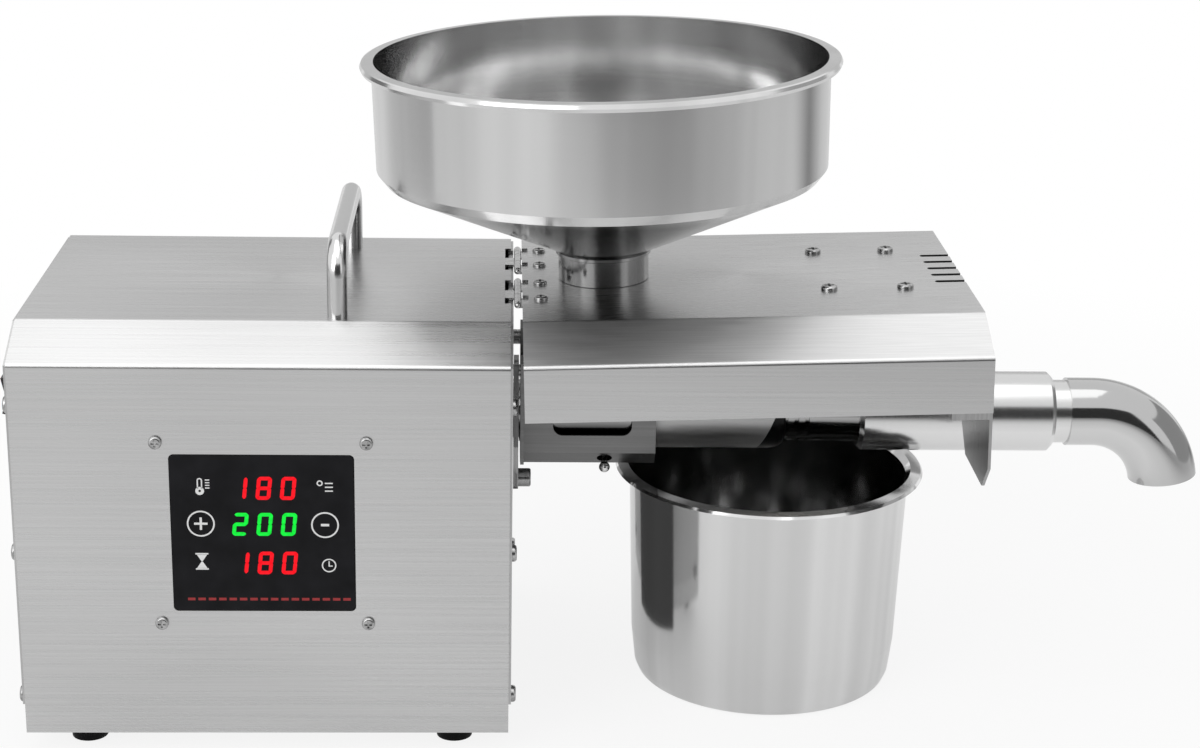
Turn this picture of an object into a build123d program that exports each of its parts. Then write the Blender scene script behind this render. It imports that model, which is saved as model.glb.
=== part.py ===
from build123d import *
from math import cos, sin, tan, radians, degrees, atan2, pi
import os

os.makedirs("parts", exist_ok=True)

# Household screw oil press: a sheet steel housing with motor and gears, a horizontal press barrel,
# a hinged heating hood over the barrel, a hopper on the hood and a pot under the barrel.
# Millimetres. X runs from the housing to the outlet, -Y is the front with the control panel,
# Z is up from the table. While pieces are drawn, X = 0 is the left end of the folded housing.

# Sheet metal
sheet = 1.0
bend_radius = 2.0
seat_gap = 0.2
moving_gap = 0.4
running_gap = 0.06

# Housing
housing_length = 192.0
housing_depth = 173.0
housing_height = 165.5
shoulder_in = 23.5
shoulder_drop = 11.4
foot_height = 9.1
foot_radius = 8.2
foot_inset_x = 22.0
foot_inset_y = 18.0
foot_screw_radius = 2.0
tray_wall = 14.0
end_plate_thickness = 1.0
end_plate_rise = 12.0
end_plate_inset = 1.0
end_flange = 9.0
end_screw_inset_y = 7.0
end_screw_low = 14.0
end_screw_pitch = 61.0
pan_head_radius = 3.4
pan_head_height = 1.9
screw_radius = 1.5
screw_length = 7.0

# Carry handle
handle_x = 124.0
handle_bar_radius = 4.0
handle_span = 102.0
handle_height = 31.0
handle_bend = 11.0
handle_middle_y = -4.5
handle_thread = 2.5

# Control panel
panel_width = 71.0
panel_height = 65.0
panel_middle_x = 96.0
panel_middle_z = 85.7
panel_corner = 2.0
panel_thickness = 3.0
panel_gap = 0.25
panel_screw_width = 81.0
panel_screw_height = 75.5
panel_flange = 92.0
panel_flange_height = 86.0
panel_flange_thickness = 1.5
panel_head_radius = 2.6
board_thickness = 1.6
board_drop = 9.0
digit_block_width = 29.0
digit_block_height = 14.0
digit_block_depth = 7.0
digit_row_pitch = 14.35
digit_rows_up = 3.1
digit_block_x = 0.7

# Left end: mains inlet, two rocker switches and cooling slots
inlet_width = 27.0
inlet_height = 20.0
inlet_depth = 22.0
inlet_y = 40.0
inlet_z = 45.0
rocker_width = 11.0
rocker_height = 19.0
rocker_hump = 2.4
rocker_depth = 7.0
bezel_border = 2.4
bezel_proud = 1.6
bezel_depth = 18.0
motor_switch_y = -67.0
heater_switch_y = -46.0
heater_rocker_lean = 10.0
switch_z = 146.0
vent_slot_length = 44.0
vent_slot_width = 3.0
vent_slot_pitch = 7.0
vent_slot_count = 8

# Press barrel and what is on its axis
barrel_height = 108.5
feed_x = 230.5
feed_body_radius = 17.5
feed_body_length = 55.8
feed_start = 196.2
port_bore = 15.8
spigot_radius = 14.0
spigot_start = 178.0
groove_start = 193.15
groove_width = 2.6
groove_depth = 1.5
barrel_bore = 10.5
cage_radius = 13.9
jacket_wall = 2.0
jacket_gap = 0.3
jacket_end_low = 295.5
jacket_end_lean = 22.0
nose_end = 307.6
rib_radius = 13.4
rib_core = 12.2
rib_width = 2.6
rib_pitch = 4.5
rib_start = 308.6
rib_count = 3
plain_radius = 13.2
sleeve_start = 338.6
sleeve_end = 421.5
sleeve_radius = 16.9
sleeve_grip = 17.0
sleeve_chamfer = 1.8
cake_bore = 11.0
neck_radius = 13.4
neck_length = 6.9
spigot_into_elbow = 11.0
elbow_radius = 14.4
elbow_wall = 1.4
elbow_bend = 33.5
elbow_straight = 11.0
elbow_sweep = 81.0
oil_slot_count = 9
oil_slot_width = 0.8
oil_slot_pitch = 4.0

# Auger
flight_gap = 0.4
flight_pitch = 17.0
flight_thickness = 3.2
flight_start = 208.0
flight_end = 336.0
root_small = 5.2
root_large = 8.6
nose_length = 9.0
journal_start = 180.0
journal_end = 204.0
hex_flats = 10.0
hex_start = 152.0

# Gears: motor pinion, layshaft gear and pinion, output gear
fine_module = 1.0
coarse_module = 1.5
motor_teeth = 12
lay_gear_teeth = 60
lay_pinion_teeth = 12
output_teeth = 54
lay_y = -25.0
motor_side_y = 5.0
fine_gear_x = 135.0
fine_gear_width = 7.0
coarse_gear_x = 145.0
coarse_gear_width = 15.0
gear_web = 5.0
output_shaft_radius = 9.0
lay_shaft_radius = 5.0
motor_shaft_radius = 4.0
gearbox_start = 127.0
gearbox_end = 170.0
gearbox_wall = 5.0
gearbox_lid = 4.0
bearing_width = 4.5
bearing_wall = 4.0
case_clearance = 4.0

# Motor
motor_radius = 33.0
motor_length = 84.0
motor_wall = 2.0
stator_bore = 18.3
rotor_gap = 0.8
core_length = 46.0
fan_radius = 27.0
fan_width = 9.0
fan_blades = 9

# Barrel seat, bracket and lock lever at the right end
seat_flange_radius = 27.0
seat_flange_thickness = 4.0
seat_radius = 19.0
seat_fit = 0.05
bracket_half_width = 20.5
bracket_sheet = 1.5
bracket_corner = 6.5
bracket_floor = 89.3
bracket_rise = 122.0
bracket_ear_rise = 138.0
bracket_ear = 11.0
bracket_ear_floor = 94.6
bracket_stand_off = 3.2
window_left = 13.6
window_length = 32.8
window_floor = 103.5
window_height = 13.0
window_corner = 4.0
pin_hole_radius = 3.2
pin_ball_radius = 2.3
pin_radius = 1.3
pin_ball_out = 1.6
pin_ball_drop = 3.4
lever_thickness = 2.1
lever_pivot_y = -22.0
lever_pivot_rise = 24.0
lever_width = 11.0
lever_pivot_radius = 2.4
lever_gap = 0.35
lever_foot_y = -27.0
lever_foot_z = 87.4
knob_radius = 3.8
knob_length = 5.2

# Hood over the barrel, drawn level and then tipped up about its hinge
hood_gap = 4.6
hood_length = 181.8
hood_skirt = 22.5
hood_tilt = 1.7
hinge_gap = 2.75
knuckle_radius = 1.5
hinge_pin_radius = 0.75
hinge_length = 34.0
hinge_leaf = 1.0
hinge_leaf_length = 14.0
hinge_places = (-20.5, 29.5)
hinge_screw_pitch = 22.5
hinge_screw_x = 7.4
hinge_notch = 2.5
knuckle_gap = 0.3
spout_hole_radius = 17.2
hood_screw_x = (124.7, 155.8)
hood_screw_y = (-26.4, 30.2)
hood_vent_start = 169.4
hood_vent_pitch = 9.9
hood_vent_width = 3.0
hood_vent_count = 5
hood_vent_down = 7.0
hood_middle_y = 1.9
hood_plate = 1.2
hood_plate_floor = 102.5
hood_plate_corner = 11.0
hood_plate_tab = 16.0
hood_slot_radius = 27.0
hood_slot_mouth = 12.0
reflector_start = 66.0
reflector_length = 104.0
reflector_width = 84.0
reflector_drop = 9.0
reflector_lip = 13.0
reflector_slope = 6.0
reflector_sheet = 0.8
tube_radius = 5.0
tube_spread = 17.0
tube_drop = 14.0
tube_cap = 9.0
clip_width = 5.0

# Hopper, drawn on the level hood
collar_radius = 18.7
collar_height = 10.5
spout_radius = 14.8
spout_depth = 12.0
hopper_wall = 0.9
bead_radius = 19.7
bead_height = 2.2
cone_top_radius = 89.0
cone_top = 44.5
band_low_radius = 92.2
band_top_radius = 92.8
rim_radius = 96.8
rim_height = 92.5
rim_roll = 1.6

# Pot
pot_middle_x = 302.5
pot_height = 94.5
pot_base_radius = 55.3
pot_base_corner = 4.0
pot_waist_radius = 56.9
pot_waist_height = 18.0
pot_mouth_radius = 59.3
pot_lip_radius = 65.4
pot_wall = 1.0
pot_lip_fall = 1.6

# Places worked out from the sizes above
base_z = foot_height
top_z = base_z + housing_height
half_depth = housing_depth / 2
axis_z = base_z + barrel_height
inside_half = half_depth - sheet
plate_outer = housing_length + end_plate_thickness
hood_start = housing_length + hood_gap
hood_end = hood_start + hood_length
hinge_x = housing_length + hinge_gap
hinge_z = top_z - sheet - hinge_leaf + knuckle_radius
elbow_start = sleeve_end + neck_length
jacket_radius = cage_radius + jacket_gap + jacket_wall
cage_start = feed_start + feed_body_length
UP = (Align.CENTER, Align.CENTER, Align.MIN)


def span(x0, x1, y0, y1, z0, z1):
    """Block between two corners."""
    middle = ((x0 + x1) / 2, (y0 + y1) / 2, (z0 + z1) / 2)
    return Pos(*middle) * Box(x1 - x0, y1 - y0, z1 - z0)


def rod(radius, start, end):
    """Round bar between two points."""
    line = Vector(*end) - Vector(*start)
    return extrude(Plane(origin=start, z_dir=line) * Circle(radius), amount=line.length)


def along_x(radius, x0, x1, y=0.0, z=axis_z):
    """Round bar along X."""
    return rod(radius, (x0, y, z), (x1, y, z))


def turned_x(points):
    """Solid of revolution about the barrel axis, from points (x, radius)."""
    plane = Plane(origin=(0, 0, axis_z), x_dir=(1, 0, 0), z_dir=(0, -1, 0))
    face = plane * make_face(Polyline(*points, close=True))
    return revolve(face, Axis((0, 0, axis_z), (1, 0, 0)), 360)


def turned_z(face_points, x, z):
    """Solid of revolution about an upright axis, from points (radius, height)."""
    plane = Plane(origin=(x, 0, z), x_dir=(1, 0, 0), z_dir=(0, -1, 0))
    face = plane * make_face(Polyline(*face_points, close=True))
    return revolve(face, Axis((x, 0, z), (0, 0, 1)), 360)


def cross_section(points, x0, x1):
    """Prism along X from points (y, z)."""
    face = Plane.YZ * make_face(Polyline(*points, close=True))
    return Pos(x0, 0, 0) * extrude(face, amount=x1 - x0)


def pan_screws(places, direction, shank, head=pan_head_radius, height=pan_head_height):
    """Pan-head screws whose heads stand out along a direction."""
    out = Vector(*direction)
    screws = []
    for place in places:
        seat = Vector(*place)
        top = seat + out * height
        body = rod(head, seat, top)
        rim = body.edges().filter_by(GeomType.CIRCLE).sort_by(Axis(place, direction))[-1]
        body = fillet(rim, height * 0.6)
        cross = Rectangle(head * 0.3, head * 1.15) + Rectangle(head * 1.15, head * 0.3)
        body -= extrude(Plane(origin=top, z_dir=out) * cross, amount=-height * 0.45)
        stem_end = seat - out * shank
        screws.append(body + rod(screw_radius, stem_end, seat))
    return screws


def rectangle_places(xs, ys):
    return [(x, y) for x in xs for y in ys]


def save(name, *solids):
    """Move to the middle of the whole object and write one STEP file."""
    pieces = []
    for solid in solids:
        pieces.extend(Pos(-middle_x, 0, 0) * piece for piece in solid.solids())
    shape = pieces[0] if len(pieces) == 1 else Compound(children=pieces)
    export_step(shape, f"parts/{name}.step")


# Housing: one folded sheet over the front, top and back

def hood_profile(low, high, grow=0.0):
    """Outline (y, z) of a folded roof with sloping shoulders."""
    half = half_depth + grow
    shift = grow * tan(atan2(shoulder_drop, shoulder_in) / 2)
    shoulder = half_depth - shoulder_in + shift
    side_top = high - shoulder_drop + grow * tan(pi / 4 - atan2(shoulder_drop, shoulder_in) / 2)
    top = high + grow
    return [(-half, low), (-half, side_top), (-shoulder, top), (shoulder, top),
            (half, side_top), (half, low)]


def folded_roof(x0, x1, low, high):
    """Sheet folded to the roof outline, open below."""
    outer = cross_section(hood_profile(low, high), x0, x1)
    inner = cross_section(hood_profile(low - 1, high, -sheet), x0 - 1, x1 + 1)
    roof = outer - inner
    bends = [edge for edge in roof.edges().filter_by(Axis.X) if edge.center().Z > low + 1]
    outer_bends = [e for e in bends if not inner.is_inside(e.center() + Vector(0, 0, -0.01), 1e-4)]
    return fillet(outer_bends, bend_radius) if outer_bends else roof


def plate_outline(x0, x1, low, inset):
    return cross_section(hood_profile(low, top_z, -inset), x0, x1)


def housing_shell():
    shell = folded_roof(0, housing_length, base_z, top_z)
    for x0 in (0, housing_length - sheet):
        ring = cross_section(hood_profile(base_z + tray_wall + 1, top_z, -sheet), x0, x0 + sheet)
        window = cross_section(hood_profile(base_z, top_z, -end_flange), x0 - 1, x0 + sheet + 1)
        shell += ring - window
    opening = Pos(panel_middle_x, -half_depth, base_z + panel_middle_z) * Box(
        panel_width + 2 * panel_gap, 4 * sheet, panel_height + 2 * panel_gap)
    shell -= fillet(opening.edges().filter_by(Axis.Y), panel_corner)
    for y in hinge_places:
        shell -= span(housing_length - hinge_notch, housing_length + 1, y - hinge_length / 2,
                      y + hinge_length / 2, top_z - sheet, top_z + 1)
        shell -= span(housing_length - 2 * sheet, housing_length + 1, y - hinge_length / 2,
                      y + hinge_length / 2, hinge_z - knuckle_radius - 0.2, top_z - sheet)
    for x, z in panel_screw_places():
        shell -= rod(screw_radius, (x, -half_depth - 1, z), (x, -half_depth + 3, z))
    for y in handle_legs():
        shell -= rod(handle_thread, (handle_x, y, top_z - 4), (handle_x, y, top_z + 1))
    for x0 in (0, housing_length - sheet):
        for y, z in end_screw_places():
            shell -= along_x(screw_radius, x0 - 1, x0 + sheet + 1, y, z)
    return shell


def base_tray():
    """Tray of the same sheet, standing inside the folded housing."""
    low, high = base_z, base_z + tray_wall
    tray = span(0, housing_length, -inside_half, inside_half, low, high)
    tray -= span(sheet, housing_length - sheet, -inside_half + sheet, inside_half - sheet,
                 low + sheet, high + 1)
    for x, y in foot_places():
        tray -= rod(foot_screw_radius, (x, y, low - 1), (x, y, low + 3))
    for x0 in (0, housing_length - sheet):
        for y, z in end_screw_places():
            tray -= along_x(screw_radius, x0 - 1, x0 + sheet + 1, y, z)
    return tray


def end_screw_places():
    ys = (-half_depth + end_screw_inset_y, half_depth - end_screw_inset_y)
    zs = [base_z + end_screw_low + k * end_screw_pitch for k in range(3)]
    return rectangle_places(ys, zs)


def end_plate(x0):
    plate = plate_outline(x0, x0 + end_plate_thickness, base_z + end_plate_rise, end_plate_inset)
    for y, z in end_screw_places():
        plate -= along_x(screw_radius, x0 - 1, x0 + end_plate_thickness + 1, y, z)
    return plate


# Feet and handle

def foot_places():
    xs = (foot_inset_x, housing_length - foot_inset_x)
    return rectangle_places(xs, (-half_depth + foot_inset_y, half_depth - foot_inset_y))


def rubber_feet():
    recess = foot_radius * 0.5
    profile = [(foot_screw_radius, base_z), (foot_radius, base_z), (foot_radius - 1.0, 0),
               (recess, 0), (recess, foot_height * 0.5), (foot_screw_radius, foot_height * 0.5)]
    feet = []
    for x, y in foot_places():
        foot = turned_z(profile, 0, 0)
        feet.append(Pos(x, y, 0) * foot)
    return feet


def foot_screws():
    """A screw up each foot, with its washer and nut inside the tray."""
    screws = []
    under = foot_height * 0.5
    for x, y in foot_places():
        head = rod(foot_radius * 0.42, (x, y, under - 2.2), (x, y, under))
        stem = rod(foot_screw_radius, (x, y, under), (x, y, base_z + sheet + 4.5))
        nut_plane = Plane(origin=(x, y, base_z + sheet))
        nut = extrude(nut_plane * RegularPolygon(3.9, 6), amount=3.2)
        screws.append(head + stem + nut)
    return screws


def handle_legs():
    return (handle_middle_y - handle_span / 2, handle_middle_y + handle_span / 2)


def carry_handle():
    """Polished round bar bent into a bail, standing on the housing top."""
    near, far = handle_legs()
    crown = top_z + handle_height - handle_bar_radius
    path = FilletPolyline((handle_x, near, top_z), (handle_x, near, crown), (handle_x, far, crown),
                          (handle_x, far, top_z), radius=handle_bend)
    return sweep(Plane(origin=(handle_x, near, top_z)) * Circle(handle_bar_radius), path=path)


def handle_screws():
    screws = []
    for y in handle_legs():
        under = top_z - sheet
        washer = rod(6.0, (handle_x, y, under - 1.2), (handle_x, y, under))
        head = rod(4.2, (handle_x, y, under - 4.4), (handle_x, y, under - 1.2))
        stem = rod(handle_thread, (handle_x, y, under - 1.2), (handle_x, y, top_z))
        screws.append(head + washer + stem)
    return screws


# Control panel on the front

def panel_screw_places():
    xs = (panel_middle_x - panel_screw_width / 2, panel_middle_x + panel_screw_width / 2)
    middle = base_z + panel_middle_z - 0.2
    zs = (middle - panel_screw_height / 2, middle + panel_screw_height / 2)
    return rectangle_places(xs, zs)


panel_face_y = -half_depth - 0.3
panel_back_y = -inside_half + panel_flange_thickness


def front_block(width, height, y0, y1, x=panel_middle_x, z=base_z + panel_middle_z):
    return span(x - width / 2, x + width / 2, y0, y1, z - height / 2, z + height / 2)


def control_panel():
    """Dark window with a flange behind the sheet."""
    window = front_block(panel_width, panel_height, panel_face_y, panel_back_y)
    window = fillet(window.edges().filter_by(Axis.Y), panel_corner)
    window = fillet(window.faces().sort_by(Axis.Y)[0].edges(), 0.4)
    flange = front_block(panel_flange, panel_flange_height, -inside_half, panel_back_y)
    panel = window + flange
    for x, z in panel_screw_places():
        panel -= rod(screw_radius, (x, -inside_half - 1, z), (x, panel_back_y + 1, z))
    return panel


board_face = panel_back_y + board_drop


def control_board():
    """Circuit board on four posts behind the window."""
    board = front_block(panel_flange - 2, panel_flange_height - 2, board_face,
                        board_face + board_thickness)
    for x, z in panel_screw_places():
        post = rod(3.0, (x, panel_back_y, z), (x, board_face, z))
        board += post - rod(screw_radius, (x, panel_back_y - 1, z), (x, board_face - 3, z))
    chip_x = panel_middle_x + 24
    board += front_block(12, 12, board_face + board_thickness, board_face + board_thickness + 2.5,
                         x=chip_x)
    return board


def display_modules():
    modules = []
    for row in (-1, 0, 1):
        z = base_z + panel_middle_z + digit_rows_up + row * digit_row_pitch
        body = front_block(digit_block_width, digit_block_height, board_face - digit_block_depth,
                           board_face, x=panel_middle_x + digit_block_x, z=z)
        modules.append(chamfer(body.edges().filter_by(Axis.Y), 0.8))
    return modules


def panel_screws():
    places = [(x, -half_depth, z) for x, z in panel_screw_places()]
    return pan_screws(places, (0, -1, 0), screw_length, panel_head_radius, 1.6)


# Left end: inlet, switches, vents

def left_end_plate():
    plate = end_plate(-end_plate_thickness)
    x0, x1 = -end_plate_thickness - 1, 1
    plate -= span(x0, x1, inlet_y - inlet_width / 2, inlet_y + inlet_width / 2,
                  inlet_z - inlet_height / 2, inlet_z + inlet_height / 2)
    for y in (motor_switch_y, heater_switch_y):
        half_w = rocker_width / 2 + bezel_border / 2
        half_h = rocker_height / 2 + bezel_border / 2
        plate -= span(x0, x1, y - half_w, y + half_w, switch_z - half_h, switch_z + half_h)
    motor_y, motor_z = motor_place()
    for k in range(vent_slot_count):
        z = motor_z + (k - (vent_slot_count - 1) / 2) * vent_slot_pitch
        slot = span(x0, x1, motor_y - 10 - vent_slot_length / 2, motor_y - 10 + vent_slot_length / 2,
                    z - vent_slot_width / 2, z + vent_slot_width / 2)
        plate -= fillet(slot.edges().filter_by(Axis.X), vent_slot_width * 0.45)
    return plate


def power_inlet():
    """Mains inlet with three flat contacts in its socket."""
    outer = -end_plate_thickness
    flange = span(outer - 2.5, outer, inlet_y - 20, inlet_y + 20, inlet_z - 12, inlet_z + 12)
    flange = fillet(flange.edges().filter_by(Axis.X), 4.0)
    body = span(outer, outer + inlet_depth, inlet_y - inlet_width / 2, inlet_y + inlet_width / 2,
                inlet_z - inlet_height / 2, inlet_z + inlet_height / 2)
    socket = span(outer - 4, outer + inlet_depth - 4, inlet_y - 12, inlet_y + 12,
                  inlet_z - 8, inlet_z + 8)
    corners = socket.edges().filter_by(Axis.X).sort_by(Axis.Z)[2:]
    socket = chamfer(corners, 4.0)
    inlet = flange + body - socket
    for dy, dz in ((-7, -2), (0, 2), (7, -2)):
        inlet += span(outer + 1, outer + inlet_depth - 3, inlet_y + dy - 1, inlet_y + dy + 1,
                      inlet_z + dz - 2, inlet_z + dz + 2)
    return inlet


def switch_bezel(y):
    outer = -end_plate_thickness
    half_w = rocker_width / 2 + bezel_border
    half_h = rocker_height / 2 + bezel_border
    frame = span(outer - bezel_proud, outer, y - half_w, y + half_w,
                 switch_z - half_h, switch_z + half_h)
    frame = fillet(frame.edges().filter_by(Axis.X), 1.5)
    inner_w = rocker_width / 2 + bezel_border / 2
    inner_h = rocker_height / 2 + bezel_border / 2
    body = span(outer, outer + bezel_depth, y - inner_w, y + inner_w,
                switch_z - inner_h, switch_z + inner_h)
    well = span(outer - 4, outer + bezel_depth - 3, y - rocker_width / 2 - moving_gap,
                y + rocker_width / 2 + moving_gap, switch_z - rocker_height / 2 - moving_gap,
                switch_z + rocker_height / 2 + moving_gap)
    axle_x = outer + rocker_depth
    axle = rod(1.2, (axle_x, y - inner_w, switch_z), (axle_x, y + inner_w, switch_z))
    return frame + body - well + axle


def switch_rocker(y, lean=0.0):
    """Rocker with a shallow valley, on an axle through its well."""
    outer = -end_plate_thickness
    crest = outer - bezel_proud - rocker_hump
    axle_x = outer + rocker_depth
    half = rocker_height / 2
    outline = [(crest, -half + 2.3), (crest + 1.6, 0), (crest, half - 2.3), (axle_x - 4, half - 0.8),
               (axle_x, half - 0.6), (axle_x + 5, 3), (axle_x + 5, -3), (axle_x, -half + 0.6),
               (axle_x - 4, -half + 0.8)]
    points = [(x, switch_z + z) for x, z in outline]
    face = Plane.XZ * make_face(Polyline(*points, close=True))
    body = Pos(0, y + rocker_width / 2, 0) * extrude(face, amount=rocker_width)
    hole = rod(1.2 + running_gap, (axle_x, y - 10, switch_z), (axle_x, y + 10, switch_z))
    axle = Pos(axle_x, y, switch_z)
    return axle * Rot(0, lean, 0) * Pos(-axle_x, -y, -switch_z) * (body - hole)


def power_board():
    """Motor control board on posts at the back of the tray."""
    x0, x1 = 20.0, 110.0
    y1 = inside_half - 16
    z0 = base_z + sheet + 22
    board = span(x0, x1, y1, y1 + board_thickness, z0, z0 + 70)
    for x in (x0 + 5, x1 - 5):
        for z in (z0 + 5, z0 + 65):
            board += rod(3.0, (x, y1 + board_thickness, z), (x, inside_half, z))
    for k in range(7):
        x = x0 + 16 + k * 4.5
        board += span(x, x + 1.5, y1 - 18, y1, z0 + 24, z0 + 60)
    board += span(x0 + 16, x0 + 16 + 28.5, y1 - 3, y1, z0 + 24, z0 + 60)
    board += rod(8, (x0 + 64, y1 - 24, z0 + 44), (x0 + 64, y1, z0 + 44))
    board += span(x0 + 52, x0 + 76, y1 - 14, y1, z0 + 8, z0 + 24)
    return board


# Gears, with their places in the end view

lay_drop = ((coarse_module * (lay_pinion_teeth + output_teeth) / 2) ** 2 - lay_y ** 2) ** 0.5
fine_distance = fine_module * (motor_teeth + lay_gear_teeth) / 2


def lay_place():
    return lay_y, axis_z - lay_drop


def motor_place():
    y, z = lay_place()
    across = motor_side_y - y
    return motor_side_y, z - (fine_distance ** 2 - across ** 2) ** 0.5


def direction(a, b):
    """Angle in degrees in the YZ view from one place to another."""
    return degrees(atan2(b[1] - a[1], b[0] - a[0]))


def gear(teeth, module, x0, width, place, first_tooth, bore):
    """Spur gear with straight-flanked stub teeth, one tooth at a given angle."""
    root = module * (teeth / 2 - 1.15)
    tip = module * (teeth / 2 + 0.85)
    pitch = 360 / teeth
    points = []
    for k in range(teeth):
        middle = first_tooth + k * pitch
        for radius, half in ((root, 0.33), (tip, 0.13), (tip, -0.13), (root, -0.33)):
            a = radians(middle - half * pitch)
            points.append((place[0] + radius * cos(a), place[1] + radius * sin(a)))
    body = cross_section(points, x0, x0 + width)
    return body - along_x(bore, x0 - 1, x0 + width + 1, *place)


lay_angle = direction(lay_place(), (0, axis_z))
motor_angle = direction(lay_place(), motor_place())


def output_gear():
    first = lay_angle + 180 + 180 / output_teeth
    wheel = gear(output_teeth, coarse_module, coarse_gear_x, coarse_gear_width, (0, axis_z), first,
                 output_shaft_radius)
    rim = coarse_module * output_teeth / 2 - 6
    hub = output_shaft_radius + 7
    for x0 in (coarse_gear_x - 1, coarse_gear_x + (coarse_gear_width + gear_web) / 2):
        x1 = x0 + 1 + (coarse_gear_width - gear_web) / 2
        wheel -= along_x(rim, x0, x1) - along_x(hub, x0 - 1, x1 + 1)
    for k in range(6):
        a = radians(60 * k)
        middle = (rim + hub) / 2
        wheel -= along_x(5.0, coarse_gear_x, coarse_gear_x + coarse_gear_width,
                         middle * cos(a), axis_z + middle * sin(a))
    return wheel


def output_shaft():
    """Hollow shaft with a hexagon socket for the auger."""
    shaft = along_x(output_shaft_radius, gearbox_start + 1, spigot_start - 1)
    shaft += along_x(output_shaft_radius + 2, fine_gear_x - 2, coarse_gear_x)
    socket = Plane(origin=(hex_start - 1, 0, axis_z), z_dir=(1, 0, 0)) * RegularPolygon(
        hex_flats / 2 + 0.05, 6, major_radius=False)
    return shaft - extrude(socket, amount=spigot_start)


def layshaft():
    """Shaft cut in one piece with its small pinion."""
    place = lay_place()
    pinion = gear(lay_pinion_teeth, coarse_module, coarse_gear_x - 1, coarse_gear_width + 2, place,
                  lay_angle, lay_shaft_radius - 1)
    return pinion + along_x(lay_shaft_radius, gearbox_start + 1, gearbox_end - 1, *place)


def layshaft_gear():
    return gear(lay_gear_teeth, fine_module, fine_gear_x, fine_gear_width, lay_place(), motor_angle,
                lay_shaft_radius)


def motor_pinion():
    first = motor_angle + 180 + 180 / motor_teeth
    return gear(motor_teeth, fine_module, fine_gear_x - 1, fine_gear_width + 2, motor_place(), first,
                motor_shaft_radius - 0.6)


def shaft_centres():
    return ((0, axis_z), lay_place(), motor_place())


def case_face(margin):
    """Outline that wraps the three gear centres."""
    reach = (coarse_module * (output_teeth / 2 + 1), fine_module * (lay_gear_teeth / 2 + 1),
             fine_module * (motor_teeth / 2 + 1) + 8)
    rings = []
    for (y, z), radius in zip(shaft_centres(), reach):
        circle = Pos(y, z) * Circle(radius + case_clearance + margin)
        rings.extend(circle.edges())
    return Plane.YZ * make_hull(rings)


def bearing(place, shaft, x0):
    outer = along_x(shaft + bearing_wall, x0, x0 + bearing_width, *place)
    return outer - along_x(shaft + running_gap, x0 - 1, x0 + bearing_width + 1, *place)


def case_bolt_places():
    """Places in the middle of the case wall, clear of the motor."""
    ring = coarse_module * (output_teeth / 2 + 1) + case_clearance + gearbox_wall / 2
    places = [(ring * cos(radians(a)), axis_z + ring * sin(radians(a))) for a in (15, 90, 165)]
    y, z = lay_place()
    ring = fine_module * (lay_gear_teeth / 2 + 1) + case_clearance + gearbox_wall / 2
    return places + [(y - ring, z)]


def gearbox_bolts():
    places = [(gearbox_start, y, z) for y, z in case_bolt_places()]
    return pan_screws(places, (-1, 0, 0), gearbox_lid + 8, 2.6, 2.4)


def seat_bolt_places():
    ring = (seat_radius + seat_flange_radius) / 2
    return [(ring * cos(radians(a)), axis_z + ring * sin(radians(a))) for a in (45, 135, 225, 315)]


def gearbox_housing():
    """Cast case, open towards the motor, on a foot that stands in the tray."""
    outer = Pos(gearbox_start + gearbox_lid, 0, 0) * extrude(
        case_face(gearbox_wall), amount=gearbox_end - gearbox_start - gearbox_lid)
    inner = Pos(gearbox_start, 0, 0) * extrude(
        case_face(0), amount=gearbox_end - gearbox_start - gearbox_wall)
    case = outer - inner
    motor_y, motor_z = motor_place()
    tray_top = base_z + sheet
    foot_end = gearbox_end
    foot_start = gearbox_start + gearbox_lid
    foot = span(foot_start, foot_end, -45, 45, tray_top, tray_top + 5)
    for y in (-30, 24):
        foot += span(foot_start, foot_end, y, y + 6, tray_top, motor_z + 10)
    case += foot - Pos(foot_start - 1, 0, 0) * extrude(case_face(gearbox_wall / 2), amount=60)
    for place, radius in ((shaft_centres()[0], output_shaft_radius),
                          (shaft_centres()[1], lay_shaft_radius)):
        case -= along_x(radius + bearing_wall, gearbox_end - gearbox_wall - 1,
                        gearbox_end - gearbox_wall + bearing_width, *place)
    case -= along_x(output_shaft_radius + 0.5, gearbox_end - gearbox_wall, gearbox_end + 1)
    for y, z in case_bolt_places():
        case -= along_x(screw_radius, gearbox_start, gearbox_start + gearbox_lid + 8, y, z)
    for y, z in seat_bolt_places():
        case -= along_x(screw_radius, gearbox_end - 4, gearbox_end + 1, y, z)
    return case


def gearbox_cover():
    """Flat lid between the case and the motor."""
    x0, x1 = gearbox_start, gearbox_start + gearbox_lid
    lid = Pos(x0, 0, 0) * extrude(case_face(gearbox_wall), amount=gearbox_lid)
    motor_y, motor_z = motor_place()
    for place, radius in ((shaft_centres()[0], output_shaft_radius),
                          (shaft_centres()[1], lay_shaft_radius)):
        boss = along_x(radius + bearing_wall + 3, x1, x1 + bearing_width - 0.5, *place)
        lid += boss - along_x(radius + bearing_wall, x0 + 0.9, x1 + bearing_width + 1, *place)
        lid -= along_x(radius + bearing_wall, x0 + 0.9, x1 + bearing_width + 1, *place)
    lid -= along_x(motor_shaft_radius + 2, x0 - 1, x1 + 1, motor_y, motor_z)
    for y, z in case_bolt_places():
        lid -= along_x(screw_radius, x0 - 1, x1 + 1, y, z)
    return lid


def gear_bearings():
    bearings = []
    for place, radius in ((shaft_centres()[0], output_shaft_radius),
                          (shaft_centres()[1], lay_shaft_radius)):
        bearings.append(bearing(place, radius, gearbox_start + 0.9 + 0.1))
        bearings.append(bearing(place, radius, gearbox_end - gearbox_wall - 0.1))
    return bearings


# Motor on the gearbox lid

motor_end = gearbox_start
motor_start = motor_end - motor_length


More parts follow.
